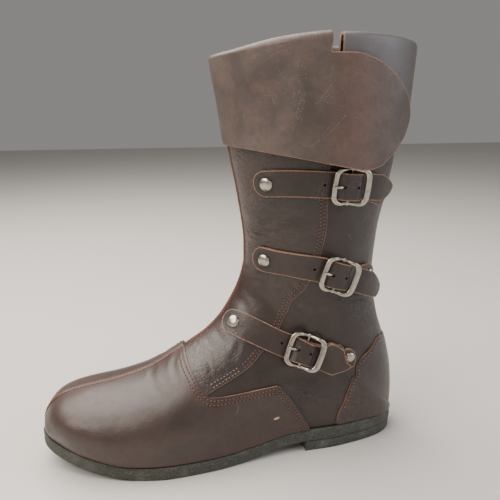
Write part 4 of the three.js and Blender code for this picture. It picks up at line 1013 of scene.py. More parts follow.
class BOOT_OT_lining(bpy.types.Operator):
    """The inner side of the leather, seen down the shaft, and the insole"""

    bl_idname = "boot.lining"
    bl_label = "Lining and insole"

    def execute(self, context):
        last = Last(sizes())
        flesh = ["flesh_side", "raw_edge"]
        inset = -sizes().wall * LINING_DEPTH
        # Shaft: from one side of the slit round to the other
        level = spread(60, ANKLE - 0.3, RIM)[None, :]
        closing = slit_opening(level)
        shut = (NOTCH_FRONT + NOTCH_BACK) / 2
        start = shut + closing * (NOTCH_FRONT - shut)
        end = 2 + shut + closing * (NOTCH_BACK - shut)
        turn = start + spread(90)[:, None] * (end - start)
        shaft = ("shaft_lining", level, turn)
        foot = ("foot_lining", spread(60, 0.6, ANKLE)[None, :], spread(80, -1, 1)[:, None])
        for name, section, turn in (shaft, foot):
            piece = net(name, last.place(section, turn, inset), flesh)
            thicken(piece, LINING_THICKNESS, 0.1 * MM)
            own(piece, "lining", "upper")

        # Insole
        s = last.s
        share = spread(90)[:, None]
        along = (1 - np.cos(math.pi * share)) / 2
        x = last.x(along)
        grow = -s.wall - s.clearance * 2.5
        side = spread(24, -1, 1)[None, :]
        half = np.maximum(last.half_width(x, side) + grow, 0)
        x = np.clip(x, last.x(1) - grow, last.x(0) + grow) + 0 * side
        dish = INSOLE_DISH * (1 - side ** 2)
        points = np.stack([x, side * half, last.sole_top(x) + INSOLE_TOP - dish], -1)
        piece = net("insole_board", points, flesh, True)
        thicken(piece, INSOLE_THICKNESS, 0.3 * MM)
        face_outward(piece)
        own(piece, "lining", "insole")
        return {"FINISHED"}


def outline_point(last, along, sign, grow):
    """Plan of the outline grown by an edge."""
    small = 1e-4
    inside = np.clip(along, small, 1 - small)
    x = last.x(inside)
    ahead, behind = last.x(inside + small), last.x(inside - small)
    dy = sign * (last.half_width(ahead, sign) - last.half_width(behind, sign))
    tangent = unit(np.stack([ahead - behind, dy], -1))
    normal = np.stack([-tangent[..., 1], tangent[..., 0]], -1) * (1 if sign < 0 else -1)
    point = np.stack([x, sign * last.half_width(x, sign)], -1) + normal * np.asarray(grow)[..., None]
    heel = np.stack([last.x(0) + grow + 0 * x, 0 * x], -1)
    toe = np.stack([last.x(1) - grow + 0 * x, 0 * x], -1)
    point = np.where((along < small)[..., None], heel, point)
    return np.where((along > 1 - small)[..., None], toe, point)


def sole_block(name, levels, low, high, count, cells=24):
    """A block with the sole's outline: rings round each cross row, from the heel to the toe."""
    last = Last(sizes())
    first, final = round_share(low), round_share(high)
    along = (1 - np.cos(math.pi * (first + spread(count) * (final - first)))) / 2
    outer, inner = [], []
    for sign, column in ((-1, outer), (1, inner)):
        for grow, height in levels:
            plan = outline_point(last, along, sign, grow + 0 * along)
            column.append(np.concatenate([plan, height(last, plan[:, 0])[:, None]], 1))
    shares = spread(cells)[:-1]
    ring = [inner[0] * (1 - t) + outer[0] * t for t in shares] + outer[:-1]
    ring += [outer[-1] * (1 - t) + inner[-1] * t for t in shares] + inner[::-1]
    points = np.stack(ring, 1)
    bottom = slice(1, cells)
    top = slice(cells + len(levels), 2 * cells + len(levels) - 1)
    for part, height in ((bottom, levels[0][1]), (top, levels[-1][1])):
        points[:, part, 2] = height(last, points[:, part, 0])
    piece = net(name, points, ["sole_rubber"], True)
    if high < 1:
        close_ends(piece)
    face_outward(piece)
    return piece


class BOOT_OT_sole(bpy.types.Operator):
    """The rubber outsole and its low heel"""

    bl_idname = "boot.sole"
    bl_label = "Sole and heel"

    def execute(self, context):
        s = sizes()
        edge = s.sole_edge

        def tread(rise):
            return lambda last, x: last.tread(x) + rise

        def top(rise):
            return lambda last, x: last.sole_top(x) + rise

        def level(rise):
            return lambda last, x: 0 * x + rise

        seat = -0.4 * MM
        levels = [
            (edge - 1.1 * MM, tread(0)), (edge - 0.5 * MM, tread(0.25 * MM)),
            (edge - 0.1 * MM, tread(0.9 * MM)), (edge, tread(2 * MM)),
            (edge - 0.1 * MM, tread(4.5 * MM)), (edge - 0.1 * MM, top(-4 * MM)),
            (edge, top(seat - 1.2 * MM)), (edge - 0.2 * MM, top(seat - 0.5 * MM)),
            (edge - 0.7 * MM, top(seat)), (edge - 2.4 * MM, top(seat - 0.1 * MM)),
        ]
        piece = sole_block("outsole_rubber", levels, 0, 1, 150)
        smooth(piece, 40)
        own(piece, "rubber", "outsole")

        flat = [
            (edge - 1.5 * MM, level(0)), (edge - 1 * MM, level(0.3 * MM)), (edge - 0.7 * MM, level(1 * MM)),
            (edge - 0.35 * MM, level(s.heel_height - 0.9 * MM)),
            (edge - 0.8 * MM, level(s.heel_height - 0.2 * MM)),
        ]
        piece = sole_block("heel_block", flat, 0, s.heel_length / s.last_length, 60)
        apply_modifier(piece, "BEVEL", width=0.5 * MM, segments=2, limit_method="ANGLE",
                       angle_limit=math.radians(60))
        smooth(piece, 40)
        own(piece, "rubber", "heel")
        return {"FINISHED"}


def leaf_middle(last, turn, section):
    """Offset of the cuff's leaf from the last."""
    s = last.s
    turns = [NOTCH_FRONT, -0.34, -0.16, 0, 1, 1.2, 2 + NOTCH_BACK]
    wide, close = s.cuff_fold_wide, s.cuff_fold
    radius = Curve(turns, [wide, 0.9 * wide, close, close, close, close, s.cuff_fold_tight])(turn)
    flare = Curve(turns, [1, 0.8, 0.2, 0.05, 0.4, 0.6, 1])(turn) * s.cuff_flare
    return radius, 2 * radius - s.wall / 2 + flare * (RIM - section)


def cuff_sink(last, section, turn):
    """Soft dents and the rubbed ridge on the cuff, none of them at its fold."""
    below_fold = ramp(RIM - 0.04 - section, 0, 0.3)
    return fold_depth(last, *paired(section, turn), CUFF_FOLDS) * below_fold


class BOOT_OT_cuff(bpy.types.Operator):
    """The turned down cuff with its rounded flap over the slit"""

    bl_idname = "boot.cuff"
    bl_label = "Cuff"

    def execute(self, context):
        s = sizes()
        last = Last(s)
        half = s.cuff_thickness / 2
        turns = spread(280, NOTCH_FRONT, 2 + NOTCH_BACK)[:, None]
        bottom = table_curve(CUFF_EDGE)
        leaf = spread(62, FLAP_START, 1)

        # Rows: up inside the rim, over the fold, then down the leaf
        level = last.normal(RIM, turns)
        level[..., 2] = 0
        level = unit(level)
        rim = last.point(RIM, turns)
        radius = leaf_middle(last, turns, RIM + 0 * turns)[0]
        reach = radius + half
        grid = []
        up = np.array([0, 0, 1.0])
        for rise, fold in [(-1, 0)] + [(1, t) for t in spread(16)]:
            angle = math.pi * (1 - fold)
            out = radius - s.wall / 2 + reach * math.cos(angle)
            high = rise * s.cuff_rise + reach * math.sin(angle)
            grid.append(rim + level * out[..., None] + up * high[..., None])
        fold_rows = len(grid)
        for share in leaf:
            section = RIM + (bottom(turns) - RIM) * share
            offset = leaf_middle(last, turns, section)[1] + half
            grid.append(last.place(section, turns, offset - cuff_sink(last, section, turns)))
        band = np.stack([g[:, 0] for g in grid], 1)

        # Flap, blended between its four edges
        def border(table, steps=400):
            line = smooth_line(table, steps)
            return lambda share: np.stack([np.interp(share, spread(steps), part) for part in line], -1)

        top, end, low = border(FLAP_TOP), border(FLAP_END), border(FLAP_LOW)
        start = border([FLAP_TOP[0], FLAP_LOW[0]])
        down = ramp(leaf, leaf[0], 1 - leaf[0])[None, :]
        across, down = np.broadcast_arrays(spread(70, 1, 0)[:, None], down)
        a, d = across[..., None], down[..., None]
        spot = (
            (1 - d) * top(across) + d * low(across) + (1 - a) * start(down) + a * end(down)
            - (1 - d) * ((1 - a) * start(0) + a * end(0)) - d * ((1 - a) * start(1) + a * end(1))
        )
        section, turn = spot[..., 0], spot[..., 1]
        offset = leaf_middle(last, NOTCH_FRONT + 0 * turn, section)[1] + half
        flap = last.place(section, turn, offset - cuff_sink(last, section, turn))
        flap[-1] = band[0, fold_rows:]

        leathers = ["cuff_leather", "raw_edge"]
        rows = np.arange(band.shape[1])[None, :]
        cut = np.maximum(rows > band.shape[1] - 1.5, (turns > 2 + NOTCH_BACK - 1e-6) * 0.7)
        # The back of the cuff gets a painted sheen: a lighter bluish tone standing in for glancing light from
        # the right
        main = net("cuff_leather", band, leathers, flip=True, cool=0.8 * ramp(turns, 1.05, 0.25),
                   rubbed=0.2 * hump(rows, fold_rows, 6), bare=0.75 * cut)
        middle_line = hump(turn, -0.56, 0.09)
        cut = near_edge(flap, [flap[:, 0], flap[0], flap[:, -1]], 1.1 * MM)
        side = net("flap", flap, leathers, flip=True, crinkle=0.15 * middle_line, rust=0.3 * middle_line,
                   bare=cut)
        joined([main, side])
        in_edit(main, lambda: bpy.ops.mesh.remove_doubles(threshold=2.5 * WELD))
        thicken(main, s.cuff_thickness, 0.9 * MM, True)
        own(main, "leather", "cuff")
        return {"FINISHED"}


def softened(table, reach=3):
    """Evens out a table along its first axis, as if it ran straight on past its ends."""
    pad = 3 * reach
    before = 2 * table[:1] - table[pad:0:-1]
    after = 2 * table[-1:] - table[-2:-pad - 2:-1]
    longer = np.concatenate([before, table, after])
    weights = np.exp(-(np.arange(-pad, pad + 1) / reach) ** 2)
    weights = weights / weights.sum()
    return sum(weight * longer[k:k + len(table)] for k, weight in enumerate(weights))


class Path:
    """A path over the last through a few places. Distances on it are measured from one of them."""

    ASIDE = 13

    def __init__(self, last, spots, zero):
        self.last = last
        places = last.point([a for a, b in spots], [b for a, b in spots])
        run = distances(places)
        run = run - run[zero]
        section, turn = Curve(run, [a for a, b in spots]), Curve(run, [b for a, b in spots])
        self.first, self.end = run[0], run[-1]

        # The leather is stiff, so it bridges small unevenness: its places are read from an even table
        steps = max(int((self.end - self.first) / MM), 12)
        at = spread(steps, self.first, self.end)
        self.step = at[1] - at[0]
        self.centre = softened(last.point(section(at), turn(at)))
        along = unit(np.gradient(self.centre, axis=0))
        across = unit(np.cross(softened(last.normal(section(at), turn(at))), along))
        aside = np.arange(-self.ASIDE, self.ASIDE + 1)[None, :] * MM
        beside = last.slide(section(at)[:, None], turn(at)[:, None], across[:, None] * aside[..., None])
        self.along, self.across = along, across
        self.normals = unit(softened(last.normal(*beside)))
        self.surface = softened(last.point(*beside))

    def read(self, table, distance, aside=None):
        """Reads a table of places or directions between its entries."""
        row = np.clip((distance - self.first) / self.step, 0, len(table) - 1.001)
        low = row.astype(int)
        part = (row - low)[..., None]
        if table.ndim == 2:
            return table[low] * (1 - part) + table[low + 1] * part
        column = np.clip(aside / MM + self.ASIDE, 0, 2 * self.ASIDE - 0.001)
        left = column.astype(int)
        side = (column - left)[..., None]
        near = table[low, left] * (1 - side) + table[low, left + 1] * side
        far = table[low + 1, left] * (1 - side) + table[low + 1, left + 1] * side
        return near * (1 - part) + far * part

    def frame(self, distance):
        """Directions along the path, across it and out of the leather."""
        distance = np.asarray(distance, float)
        normal = unit(self.read(self.normals, distance, 0 * distance))
        along = unit(self.read(self.along, distance))
        across = unit(np.cross(normal, along))
        return unit(np.cross(across, normal)), across, normal

    def place(self, distance, aside, lift):
        """Points beside the path, at a height over the last."""
        distance, aside, lift = np.broadcast_arrays(*(np.asarray(v, float) for v in (distance, aside, lift)))
        normal = unit(self.read(self.normals, distance, aside))
        return self.read(self.surface, distance, aside) + normal * lift[..., None]


class StrapRun:
    """Where one strap, its chape and its buckle lie, as heights over the last."""

    def __init__(self, last, row):
        s = last.s
        self.s, self.row = s, row
        centre = row["bar"]
        self.origin = last.place(centre[0], centre[1], 0.0)
        up = last.normal(*centre)
        straight = last.point(*row["tip"]) - last.point(*row["mid"])
        straight = unit(straight - up * dot(straight, up))

        def beside(distance):
            section, turn = last.slide(centre[0], centre[1], straight * distance)
            return float(section), float(turn)

        self.reach = s.buckle_length * 0.45
        self.near_bar = s.buckle_length * 0.15
        self.leaving = s.buckle_length * 0.26
        spots = [row["start"], row["mid"], beside(-self.reach), centre, beside(self.reach), row["tip"]]
        self.path = Path(last, spots, 3)
        self.along, self.across, self.up = self.path.frame(0.0)
        self.chape_path = Path(last, [beside(-self.leaving), centre, beside(self.leaving), row["chape"]], 1)
        chape_end = self.chape_path.end
        self.chape_rivet = chape_end - s.back_rivet_inset
        clear = self.chape_rivet - s.back_rivet_diameter

        # Heights from the leather up: lower chape, bar, upper chape, strap
        self.lie = row["over"] * MM
        self.over = Curve([0, self.leaving, clear, chape_end], [0, 0, self.lie, self.lie])
        fold_outer = s.bar_radius + s.bar_clearance + s.chape_thickness
        self.fold_middle = fold_outer - s.chape_thickness / 2
        self.bar_height = s.strap_clearance + fold_outer
        self.chape_low = s.strap_clearance + s.chape_thickness / 2
        self.chape_high = self.chape_low + s.chape_thickness + s.clearance
        self.chape_top = self.chape_high + s.chape_thickness / 2
        half = s.strap_thickness / 2
        self.strap_low = s.panel_step + s.strap_clearance + half
        over_bar = self.bar_height + fold_outer + s.clearance + half
        over_chape = self.chape_top + s.clearance + half
        over_rivet = over_chape + 2 * s.clearance + s.back_rivet_height
        reach, near = self.reach, self.near_bar
        self.rise = Curve(
            [-reach, -reach * 0.64, -near, near, reach * 0.86, clear, self.chape_rivet, self.path.end],
            [self.strap_low, (self.strap_low + over_bar) / 2, over_bar, over_bar, over_chape + s.clearance,
             over_rivet + self.lie * 0.7, over_rivet + self.lie, over_rivet + self.lie - s.clearance],
        )
        self.slim_at = (s.slim_bar - s.buckle_length) / 2
        self.wide_at = (s.buckle_length - s.wide_bar) / 2
        slim_half, wide_half = s.slim_bar / 2, s.wide_bar / 2
        self.slim_height = max(self.over_strap(-s.buckle_length / 2),
                               self.over_strap(self.slim_at + slim_half), self.bar_height)
        self.wide_height = max(self.over_strap(self.wide_at - wide_half),
                               self.over_strap(self.wide_at + wide_half), self.bar_height)

    def local(self, along, aside, high):
        """A point of the buckle's own flat frame."""
        along, aside, high = np.broadcast_arrays(along, aside, high)
        return (self.origin + self.along * along[..., None] + self.across * aside[..., None]
                + self.up * high[..., None])

    def over_strap(self, along):
        """Height at which a bar clears the strap."""
        s = self.s
        aside = np.array([-0.5, 0, 0.5]) * s.strap_width
        lift = self.rise(along) + s.strap_thickness / 2
        top = self.path.place(np.full(3, along), aside, np.full(3, lift))
        return float(dot(top - self.origin, self.up).max()) + 3 * s.clearance + s.frame_thickness / 2


def strap_runs():
    """Each strap's number and run, top to bottom."""
    last = Last(sizes())
    for number, row in enumerate(STRAPS, 1):
        yield number, StrapRun(last, row)


def rounded(share):
    """0 at a rounded end, 1 where the full width starts."""
    return np.sqrt(1 - (1 - np.clip(share, 0, 1)) ** 2)


def cut_out(piece, matrix, shape):
    """Cuts a round or slotted hole of a length, width and depth, walled with the third material, which paints
    the walls in shade.
    """
    deselect()
    bpy.ops.mesh.primitive_cylinder_add(vertices=24, radius=0.5, depth=1)
    cutter = bpy.context.object
    in_edit(cutter, lambda: bpy.ops.transform.resize(value=shape))
    cutter.data.transform(matrix)
    for material in piece.data.materials:
        cutter.data.materials.append(material)
    for face in cutter.data.polygons:
        face.material_index = 2
    apply_modifier(piece, "BOOLEAN", operation="DIFFERENCE", solver="EXACT", object=cutter)
    bpy.data.objects.remove(cutter)


def axes(along, across, up, origin):
    """A matrix that lays x along, y across and z up at a place."""
    matrix = Matrix.Identity(4)
    for column, axis in enumerate((along, across, up, origin)):
        for row in range(3):
            matrix[row][column] = float(axis[row])
    return matrix


def hole_at(piece, path, distance, length_along, width):
    where = path.place(distance, 0.0, 0.0)
    cut_out(piece, axes(*path.frame(distance), where), (length_along, width, HOLE_DEPTH))


def tube(name, centres, sides, ups, widths, heights, power=2.0, closed=False, ridge=None, cells=14):
    """A rounded metal bar through a row of places, closed to a ring or with a face at each end."""
    sides, ups = np.broadcast_to(sides, centres.shape), np.broadcast_to(ups, centres.shape)
    angle = spread(cells, 0, 2 * math.pi)
    x = np.sign(np.cos(angle)) * np.abs(np.cos(angle)) ** (2 / power) / 2
    y = np.sign(np.sin(angle)) * np.abs(np.sin(angle)) ** (2 / power) / 2
    out, high = (widths[:, None] * x)[..., None], (heights[:, None] * y)[..., None]
    ring = sides[:, None] * out + ups[:, None] * high
    if ridge is not None:
        crest = ridge[:, None] * np.exp(-(x / 0.16) ** 2) * (y > 0)
        ring = ring + ups[:, None] * crest[..., None]
    points = centres[:, None] + ring
    if closed:
        points = np.concatenate([points, points[:1]])
    piece = net(name, points, ["worn_nickel"], True)
    face_outward(piece)
    smooth(piece, 60)
    if not closed:
        close_ends(piece)
    return piece


class BOOT_OT_straps(bpy.types.Operator):
    """Three straps, each round at its riveted end and pointed or round at its tip"""

    bl_idname = "boot.straps"
    bl_label = "Straps"

    def execute(self, context):
        s = sizes()
        half = s.strap_width / 2
        for number, run in strap_runs():
            path, row = run.path, run.row
            tapers = [s.strap_taper * share for share in row["taper"]]
            begin = path.first + half * (1 - np.cos(spread(14) * math.pi / 2))
            body = spread(90, path.first + half, path.end - max(tapers))[1:]
            tip = path.end - max(tapers) * (1 - spread(30)[1:]) ** 1.5
            at = np.concatenate([begin, body, tip])
            start = rounded((at - path.first) / half)
            narrow = (ramp(path.end - at, 0, taper) ** row["narrowing"] for taper in tapers)
            low, top = (np.minimum(start, TIP_WIDTH + (1 - TIP_WIDTH) * width) for width in narrow)
            share = np.concatenate([[-1, -0.95, -0.9], spread(14, -0.8, 0.8), [0.9, 0.95, 1]])[:, None]
            aside = half * np.where(share < 0, share * low, share * top)
            distance = at + 0 * share
            crown = 0.22 * MM * (aside / half) ** 2
            dip = 0.18 * MM * hump(distance, run.slim_at, 3 * MM)
            points = path.place(distance, aside, run.rise(distance) + s.strap_thickness / 2 - crown - dip)

            rivet_at = path.first + s.rivet_inset
            near_bar = hump(distance, -2 * MM, 7 * MM)
            wrinkled = 0.3 * hump(distance, rivet_at, 9 * MM) + 0.4 * near_bar
            # A ring of painted shadow on the strap round the front rivet's head
            ring = hump(np.hypot(distance - rivet_at, aside), s.rivet_diameter * 0.56, 1.3 * MM)
            edge = ramp(np.abs(aside) / half, 0.86, 0.14)
            piece = net(f"strap_leather_{number}", points, ["strap_leather", "raw_edge", "needle_hole"], True,
                        crinkle=np.clip(wrinkled, 0, 1), rust=0.35 * edge, rubbed=0.5 * edge * near_bar,
                        shade=ring, bare=near_edge(points, [points[0], points[-1]]))
            thicken(piece, s.strap_thickness, 0.5 * MM, True)
            small = s.hole_diameter * 0.8
            shank = s.shank_diameter + 2 * s.clearance
            for hole in HOLES:
                hole_at(piece, path, hole * s.buckle_length, small, small)
            hole_at(piece, path, PRONG_HOLE * s.buckle_length, s.prong_radius * 6, s.prong_radius * 2.6)
            hole_at(piece, path, rivet_at, shank, shank)
            own(piece, "leather", f"strap_{number}")
        return {"FINISHED"}


def open_slot(piece, run):
    """Takes out the faces of the fold where the prong turns on its bar."""
    middle = run.local(0.0, 0.0, run.bar_height)
    matrix = axes(run.along, run.across, run.up, middle).inverted()
    in_edit(piece, lambda: bpy.ops.mesh.select_mode(type="FACE"),
            lambda: bpy.ops.mesh.select_all(action="DESELECT"))
    for face in piece.data.polygons:
        along, aside, high = matrix @ face.center
        in_slot = abs(aside) < 1.2 * run.s.prong_radius and abs(along) < 1.3 * run.fold_middle
        face.select = in_slot and abs(high) < 2 * run.fold_middle
    bpy.ops.object.mode_set(mode="EDIT")
    bpy.ops.mesh.delete(type="FACE")
    bpy.ops.mesh.select_mode(type="VERT")
    bpy.ops.object.mode_set(mode="OBJECT")


class BOOT_OT_chapes(bpy.types.Operator):
    """The folded leathers that hold the buckles"""

    bl_idname = "boot.chapes"
    bl_label = "Chapes"

    def execute(self, context):
        s = sizes()
        half, thick = s.chape_width / 2, s.chape_thickness / 2
        for number, run in strap_runs():
            end = run.chape_path.end
            bend = end - half * (1 - np.cos(spread(10) * math.pi / 2))
            fall_from = run.near_bar * 0.65
            top = run.bar_height + run.fold_middle
            fall = Curve([0, fall_from, run.leaving], [top, top - s.bar_radius / 2, run.chape_high])
            low_at = np.concatenate([bend, spread(24, end - half, run.near_bar)[1:]])
            angle = np.radians(spread(14, -90, -270))
            fold_at = run.fold_middle * np.cos(angle)
            high_at = np.concatenate([spread(24, fall_from, end - half)[:-1], bend[::-1]])
            at = np.concatenate([low_at, fold_at, high_at])
            lift = np.concatenate([
                run.chape_low + run.over(low_at),
                run.bar_height + run.fold_middle * np.sin(angle),
                fall(high_at) + run.over(high_at),
            ])
            step_at, step_lift = np.gradient(at), np.gradient(lift)
            size = np.maximum(np.hypot(step_at, step_lift), 1e-9)
            width = np.where(at > end - half, rounded((end - at) / half), 1)
            at = at - step_lift / size * thick
            lift = lift + step_at / size * thick
            slot = 1.3 * s.prong_radius / half
            side = np.concatenate([spread(5, slot, 0.88), [0.94, 1]])
            share = np.concatenate([-side[::-1], side])[:, None]
            points = run.chape_path.place(at + 0 * share, half * width * share, lift + 0 * share)
            piece = net(f"chape_leather_{number}", points, ["strap_leather", "raw_edge"], True, rust=0.5,
                        bare=near_edge(points, [points[0], points[-1]]))
            open_slot(piece, run)
            thicken(piece, s.chape_thickness, 0.3 * MM, True)
            own(piece, "leather", f"chape_{number}")
        return {"FINISHED"}


class BOOT_OT_buckles(bpy.types.Operator):
    """The buckles: a flat slim bar, a ridged wide bar, thin rails and the bar that carries the prong"""

    bl_idname = "boot.buckles"
    bl_label = "Buckles and prongs"

    def execute(self, context):
        for number, run in strap_runs():
            self.frame(run, number)
            self.prong(run, number)
        return {"FINISHED"}

    def frame(self, run, number):
        s = run.s
        high = (s.buckle_height - s.rail) / 2
        loop = []
        corner = s.buckle_corner
        left, right, level = run.slim_at + corner, run.wide_at - corner, high - corner
        centres = [(right, level), (left, level), (left, -level), (right, -level)]
        for i, (x, y) in enumerate(centres):
            following = centres[(i + 1) % 4]
            for step in spread(9, 0, 90):
                angle = math.radians(90 * i + step)
                loop.append((x + corner * math.cos(angle), y + corner * math.sin(angle), angle))
            for share in spread(12)[1:-1]:
                loop.append((x + (following[0] - x) * share + corner * math.cos(angle),
                             y + (following[1] - y) * share + corner * math.sin(angle), angle))
        along, aside, angle = np.array(loop).T
        bow = 0.9 * MM * np.clip(1 - (aside / high) ** 2, 0, 1)
        widths = Curve([run.slim_at, run.slim_at * 0.62, 0, run.wide_at * 0.62, run.wide_at],
                       [s.slim_bar, s.rail * 1.06, s.rail, s.rail * 1.1, s.wide_bar])(along)
        high_at = Curve(
            [run.slim_at, run.slim_at * 0.7, 0, run.wide_at * 0.6, run.wide_at],
            [run.slim_height, run.slim_height, run.bar_height, run.wide_height, run.wide_height],
        )(along)
        sides = run.along * np.cos(angle)[:, None] + run.across * np.sin(angle)[:, None]
        bow = np.sign(along) * bow * (np.abs(along) > 0.7 * run.wide_at)
        centres = run.local(along + bow, aside, high_at)
        heights = s.frame_thickness * (1 - 0.18 * ramp(along / run.slim_at, 0.8, 0.2))
        ridge = 0.45 * MM * ramp(along / run.wide_at, 0.8, 0.2)
        ring = tube(f"buckle_frame_{number}", centres, sides, run.up, widths, heights, 2.7, True, ridge, 18)
        reach = high + s.rail / 2
        shares = np.array([-1.04, -1.035, -1.0, -0.9, -0.85, 0.85, 0.9, 1.0, 1.035, 1.04]) * reach
        radii = np.array([0.05, 0.8, 1.1, 1.15, 1, 1, 1.15, 1.1, 0.8, 0.05]) * s.bar_radius * 2
        bar = tube(f"bar_{number}", run.local(0.0, shares, run.bar_height), run.along, run.up, radii, radii)
        own(joined([ring, bar]), "steel", f"buckle_{number}")

    def prong(self, run, number):
        s = run.s
        loop_radius = s.bar_radius + s.clearance + s.prong_radius
        angle = np.radians(spread(16, -165, 90))
        along, high = loop_radius * np.cos(angle), run.bar_height + loop_radius * np.sin(angle)
        side_along, side_up = np.cos(angle), np.sin(angle)
        tip_height = run.slim_height + s.frame_thickness / 2 + s.clearance + s.prong_radius
        tip_at = run.slim_at - s.slim_bar * 0.45
        rise = Curve(
            [tip_at, run.slim_at + s.slim_bar * 0.6, -run.near_bar * 0.9, 0],
            [tip_height, tip_height, run.bar_height + loop_radius + 0.1 * MM, run.bar_height + loop_radius],
        )
        straight = spread(34, 0, tip_at)[1:]
        count = len(straight)
        along = np.concatenate([along, straight])
        high = np.concatenate([high, rise(straight)])
        side_along = np.concatenate([side_along, np.zeros(count)])
        side_up = np.concatenate([side_up, np.ones(count)])
        ups = run.along * side_along[:, None] + run.up * side_up[:, None]
        size = np.ones(len(along))
        size[:3] = (0.02, 0.6, 0.9)
        size[-4:] = (0.94, 0.85, 0.62, 0.02)
        piece = tube(f"buckle_prong_{number}", run.local(along, 0.0, high), run.across, ups,
                     size * s.prong_radius * 2.2, size * s.prong_radius * 2, 2.3)
        own(piece, "steel", f"prong_{number}")


# Profile of a rivet's head, as shares of its radius and its height
DOME = [
    (0.93, 0), (1, 0.08), (1, 0.22), (0.96, 0.38), (0.86, 0.58),
    (0.7, 0.77), (0.5, 0.9), (0.25, 0.98), (0, 1),
]


def rivet(name, path, distance, seat, floor, diameter, height):
    """A domed rivet head with a shank that goes through the leather."""
    s = sizes()
    radius, shank = diameter / 2, s.shank_diameter / 2
    profile = [(0, floor - seat), (shank, floor - seat), (shank, -0.01 * height)]
    profile = np.array(profile + [(radius * out, height * rise) for out, rise in DOME])
    along, across, up = path.frame(distance)
    turned = spread(40, 0, 2 * math.pi)[None, :, None]
    out, rise = profile[:, 0][:, None, None], profile[:, 1][:, None, None]
    centre = path.place(distance, 0.0, seat)
    points = centre + along * out * np.cos(turned) + across * out * np.sin(turned) + up * rise
    piece = net(name, points, ["worn_nickel"], True)
    face_outward(piece)
    smooth(piece, 40)
    return piece


class BOOT_OT_rivets(bpy.types.Operator):
    """The domed rivets at both ends of each strap"""

    bl_idname = "boot.rivets"
    bl_label = "Rivets"

    def execute(self, context):
        s = sizes()
        for number, run in strap_runs():
            seat = run.strap_low + s.strap_thickness / 2
            piece = rivet(f"rivet_front_{number}", run.path, run.path.first + s.rivet_inset, seat,
                          s.panel_step + s.clearance, s.rivet_diameter, s.rivet_height + s.clearance)
            own(piece, "steel", f"front_rivet_{number}")
            piece = rivet(f"rivet_back_{number}", run.chape_path, run.chape_rivet, run.chape_top + run.lie,
                          run.lie + s.strap_clearance, s.back_rivet_diameter,
                          s.back_rivet_height + s.clearance)
            own(piece, "steel", f"back_rivet_{number}")
        return {"FINISHED"}


def beside_line(last, section, turn, distance):
    """Moves a line over the last to one side by a distance."""
    tangent = unit(np.gradient(last.point(section, turn), axis=0))
    side = unit(np.cross(last.normal(section, turn), tangent))
    return last.slide(section, turn, side * distance)


def copies(name, template, centre, along, up, material):
    """Many copies of one small form in one mesh. The template is used up."""
    source = template.data
    count = len(source.vertices)
    spots = np.empty(count * 3)
    source.vertices.foreach_get("co", spots)
    spots = spots.reshape(1, -1, 3)
    across = np.cross(up, along)
    placed = centre[:, None] + along[:, None] * spots[..., :1] + across[:, None] * spots[..., 1:2]
    placed = placed + up[:, None] * spots[..., 2:]
    faces = [[v + i * count for v in face.vertices] for i in range(len(centre)) for face in source.polygons]
    mesh = bpy.data.meshes.new(name)
    mesh.from_pydata(placed.reshape(-1, 3).tolist(), [], faces)
    mesh.materials.append(finish(material))
    piece = bpy.data.objects.new(name, mesh)
    bpy.context.collection.objects.link(piece)
    bpy.data.objects.remove(template)
    smooth(piece, 60)
    return piece


def bead(length_along, width, height, sag=0.0, segments=8, rings=6):
    """A small rounded form along x, whose ends sag."""
    deselect()
    bpy.ops.mesh.primitive_uv_sphere_add(segments=segments, ring_count=rings, radius=0.5)
    piece = bpy.context.object
    in_edit(
        piece,
        lambda: bpy.ops.transform.rotate(value=math.pi / 2, orient_axis="Y", center_override=(0, 0, 0)),
        lambda: bpy.ops.transform.resize(value=(length_along, width, height)),
    )
    for vertex in piece.data.vertices:
        vertex.co.z -= sag * (2 * vertex.co.x / length_along) ** 2
    return piece


# Distances of the stitch rows from their lines, and how far the counter's row wobbles
MIDDLE_ROWS = 2.1 * MM
COUNTER_ROW = 2.6 * MM
COUNTER_WOBBLE = 0.35 * MM
SHAFT_ROWS = 2.4 * MM
# The closed seams' half width, and how deep they reach into the leather
RIDGE_HALF = 1.15 * MM
RIDGE_ROOT = 0.3 * MM
# A full sized needle hole, and its distance from the stitch's middle as a share of half a stitch
PRICK_LENGTH = 2.1 * MM
PRICK_WIDTH = 1.8 * MM
PRICK_HEIGHT = 0.16 * MM
PRICK_REACH = 1.12


def seam(name, last, section, turn, offset, material, pitch, holes, wobble):
    """A row of stitches along a line, each between two needle holes."""
    s = last.s
    pitch = pitch * s.stitch_pitch
    points = last.place(section, turn, offset)
    normals = last.normal(section, turn)
    run = distances(points)
    at = np.arange(pitch, run[-1] - pitch / 2, pitch)

    def along_line(table, where):
        return np.stack([np.interp(where, run, table[:, k]) for k in range(3)], -1)

    half = s.stitch_length / s.stitch_pitch * pitch / 2
    centre = along_line(points, at)
    along = unit(along_line(points, at + half) - along_line(points, at - half))
    up = unit(along_line(normals, at))
    up = unit(up - along * dot(up, along)[:, None])
    if wobble:
        drift = np.sin(at / pitch * 2.4) * np.sin(at / pitch * 0.9 + 1)
        side = np.cross(up, along)
        centre = centre + side * (drift * wobble)[:, None]
        along = unit(along + side * (drift * 0.25)[:, None])
    radius = s.thread_radius
    stitch = bead(2 * half + radius, 2 * radius, 2 * radius, 1.3 * radius)
    row = copies(name, stitch, centre + up * radius * 0.7, along, up, material)
    reach = along * half * PRICK_REACH
    ends = np.concatenate([centre - reach, centre + reach])
    along, up = np.concatenate([along, along]), np.concatenate([up, up])
    # Each needle hole is a flat dark bead of painted shade on the leather
    prick = bead(holes * PRICK_LENGTH, holes * PRICK_WIDTH, PRICK_HEIGHT, 0, 8, 4)
    pricks = copies(f"{name}_holes", prick, ends + up * 0.03 * MM, along, up, "needle_hole")
    own(joined([row, pricks]), "leather")


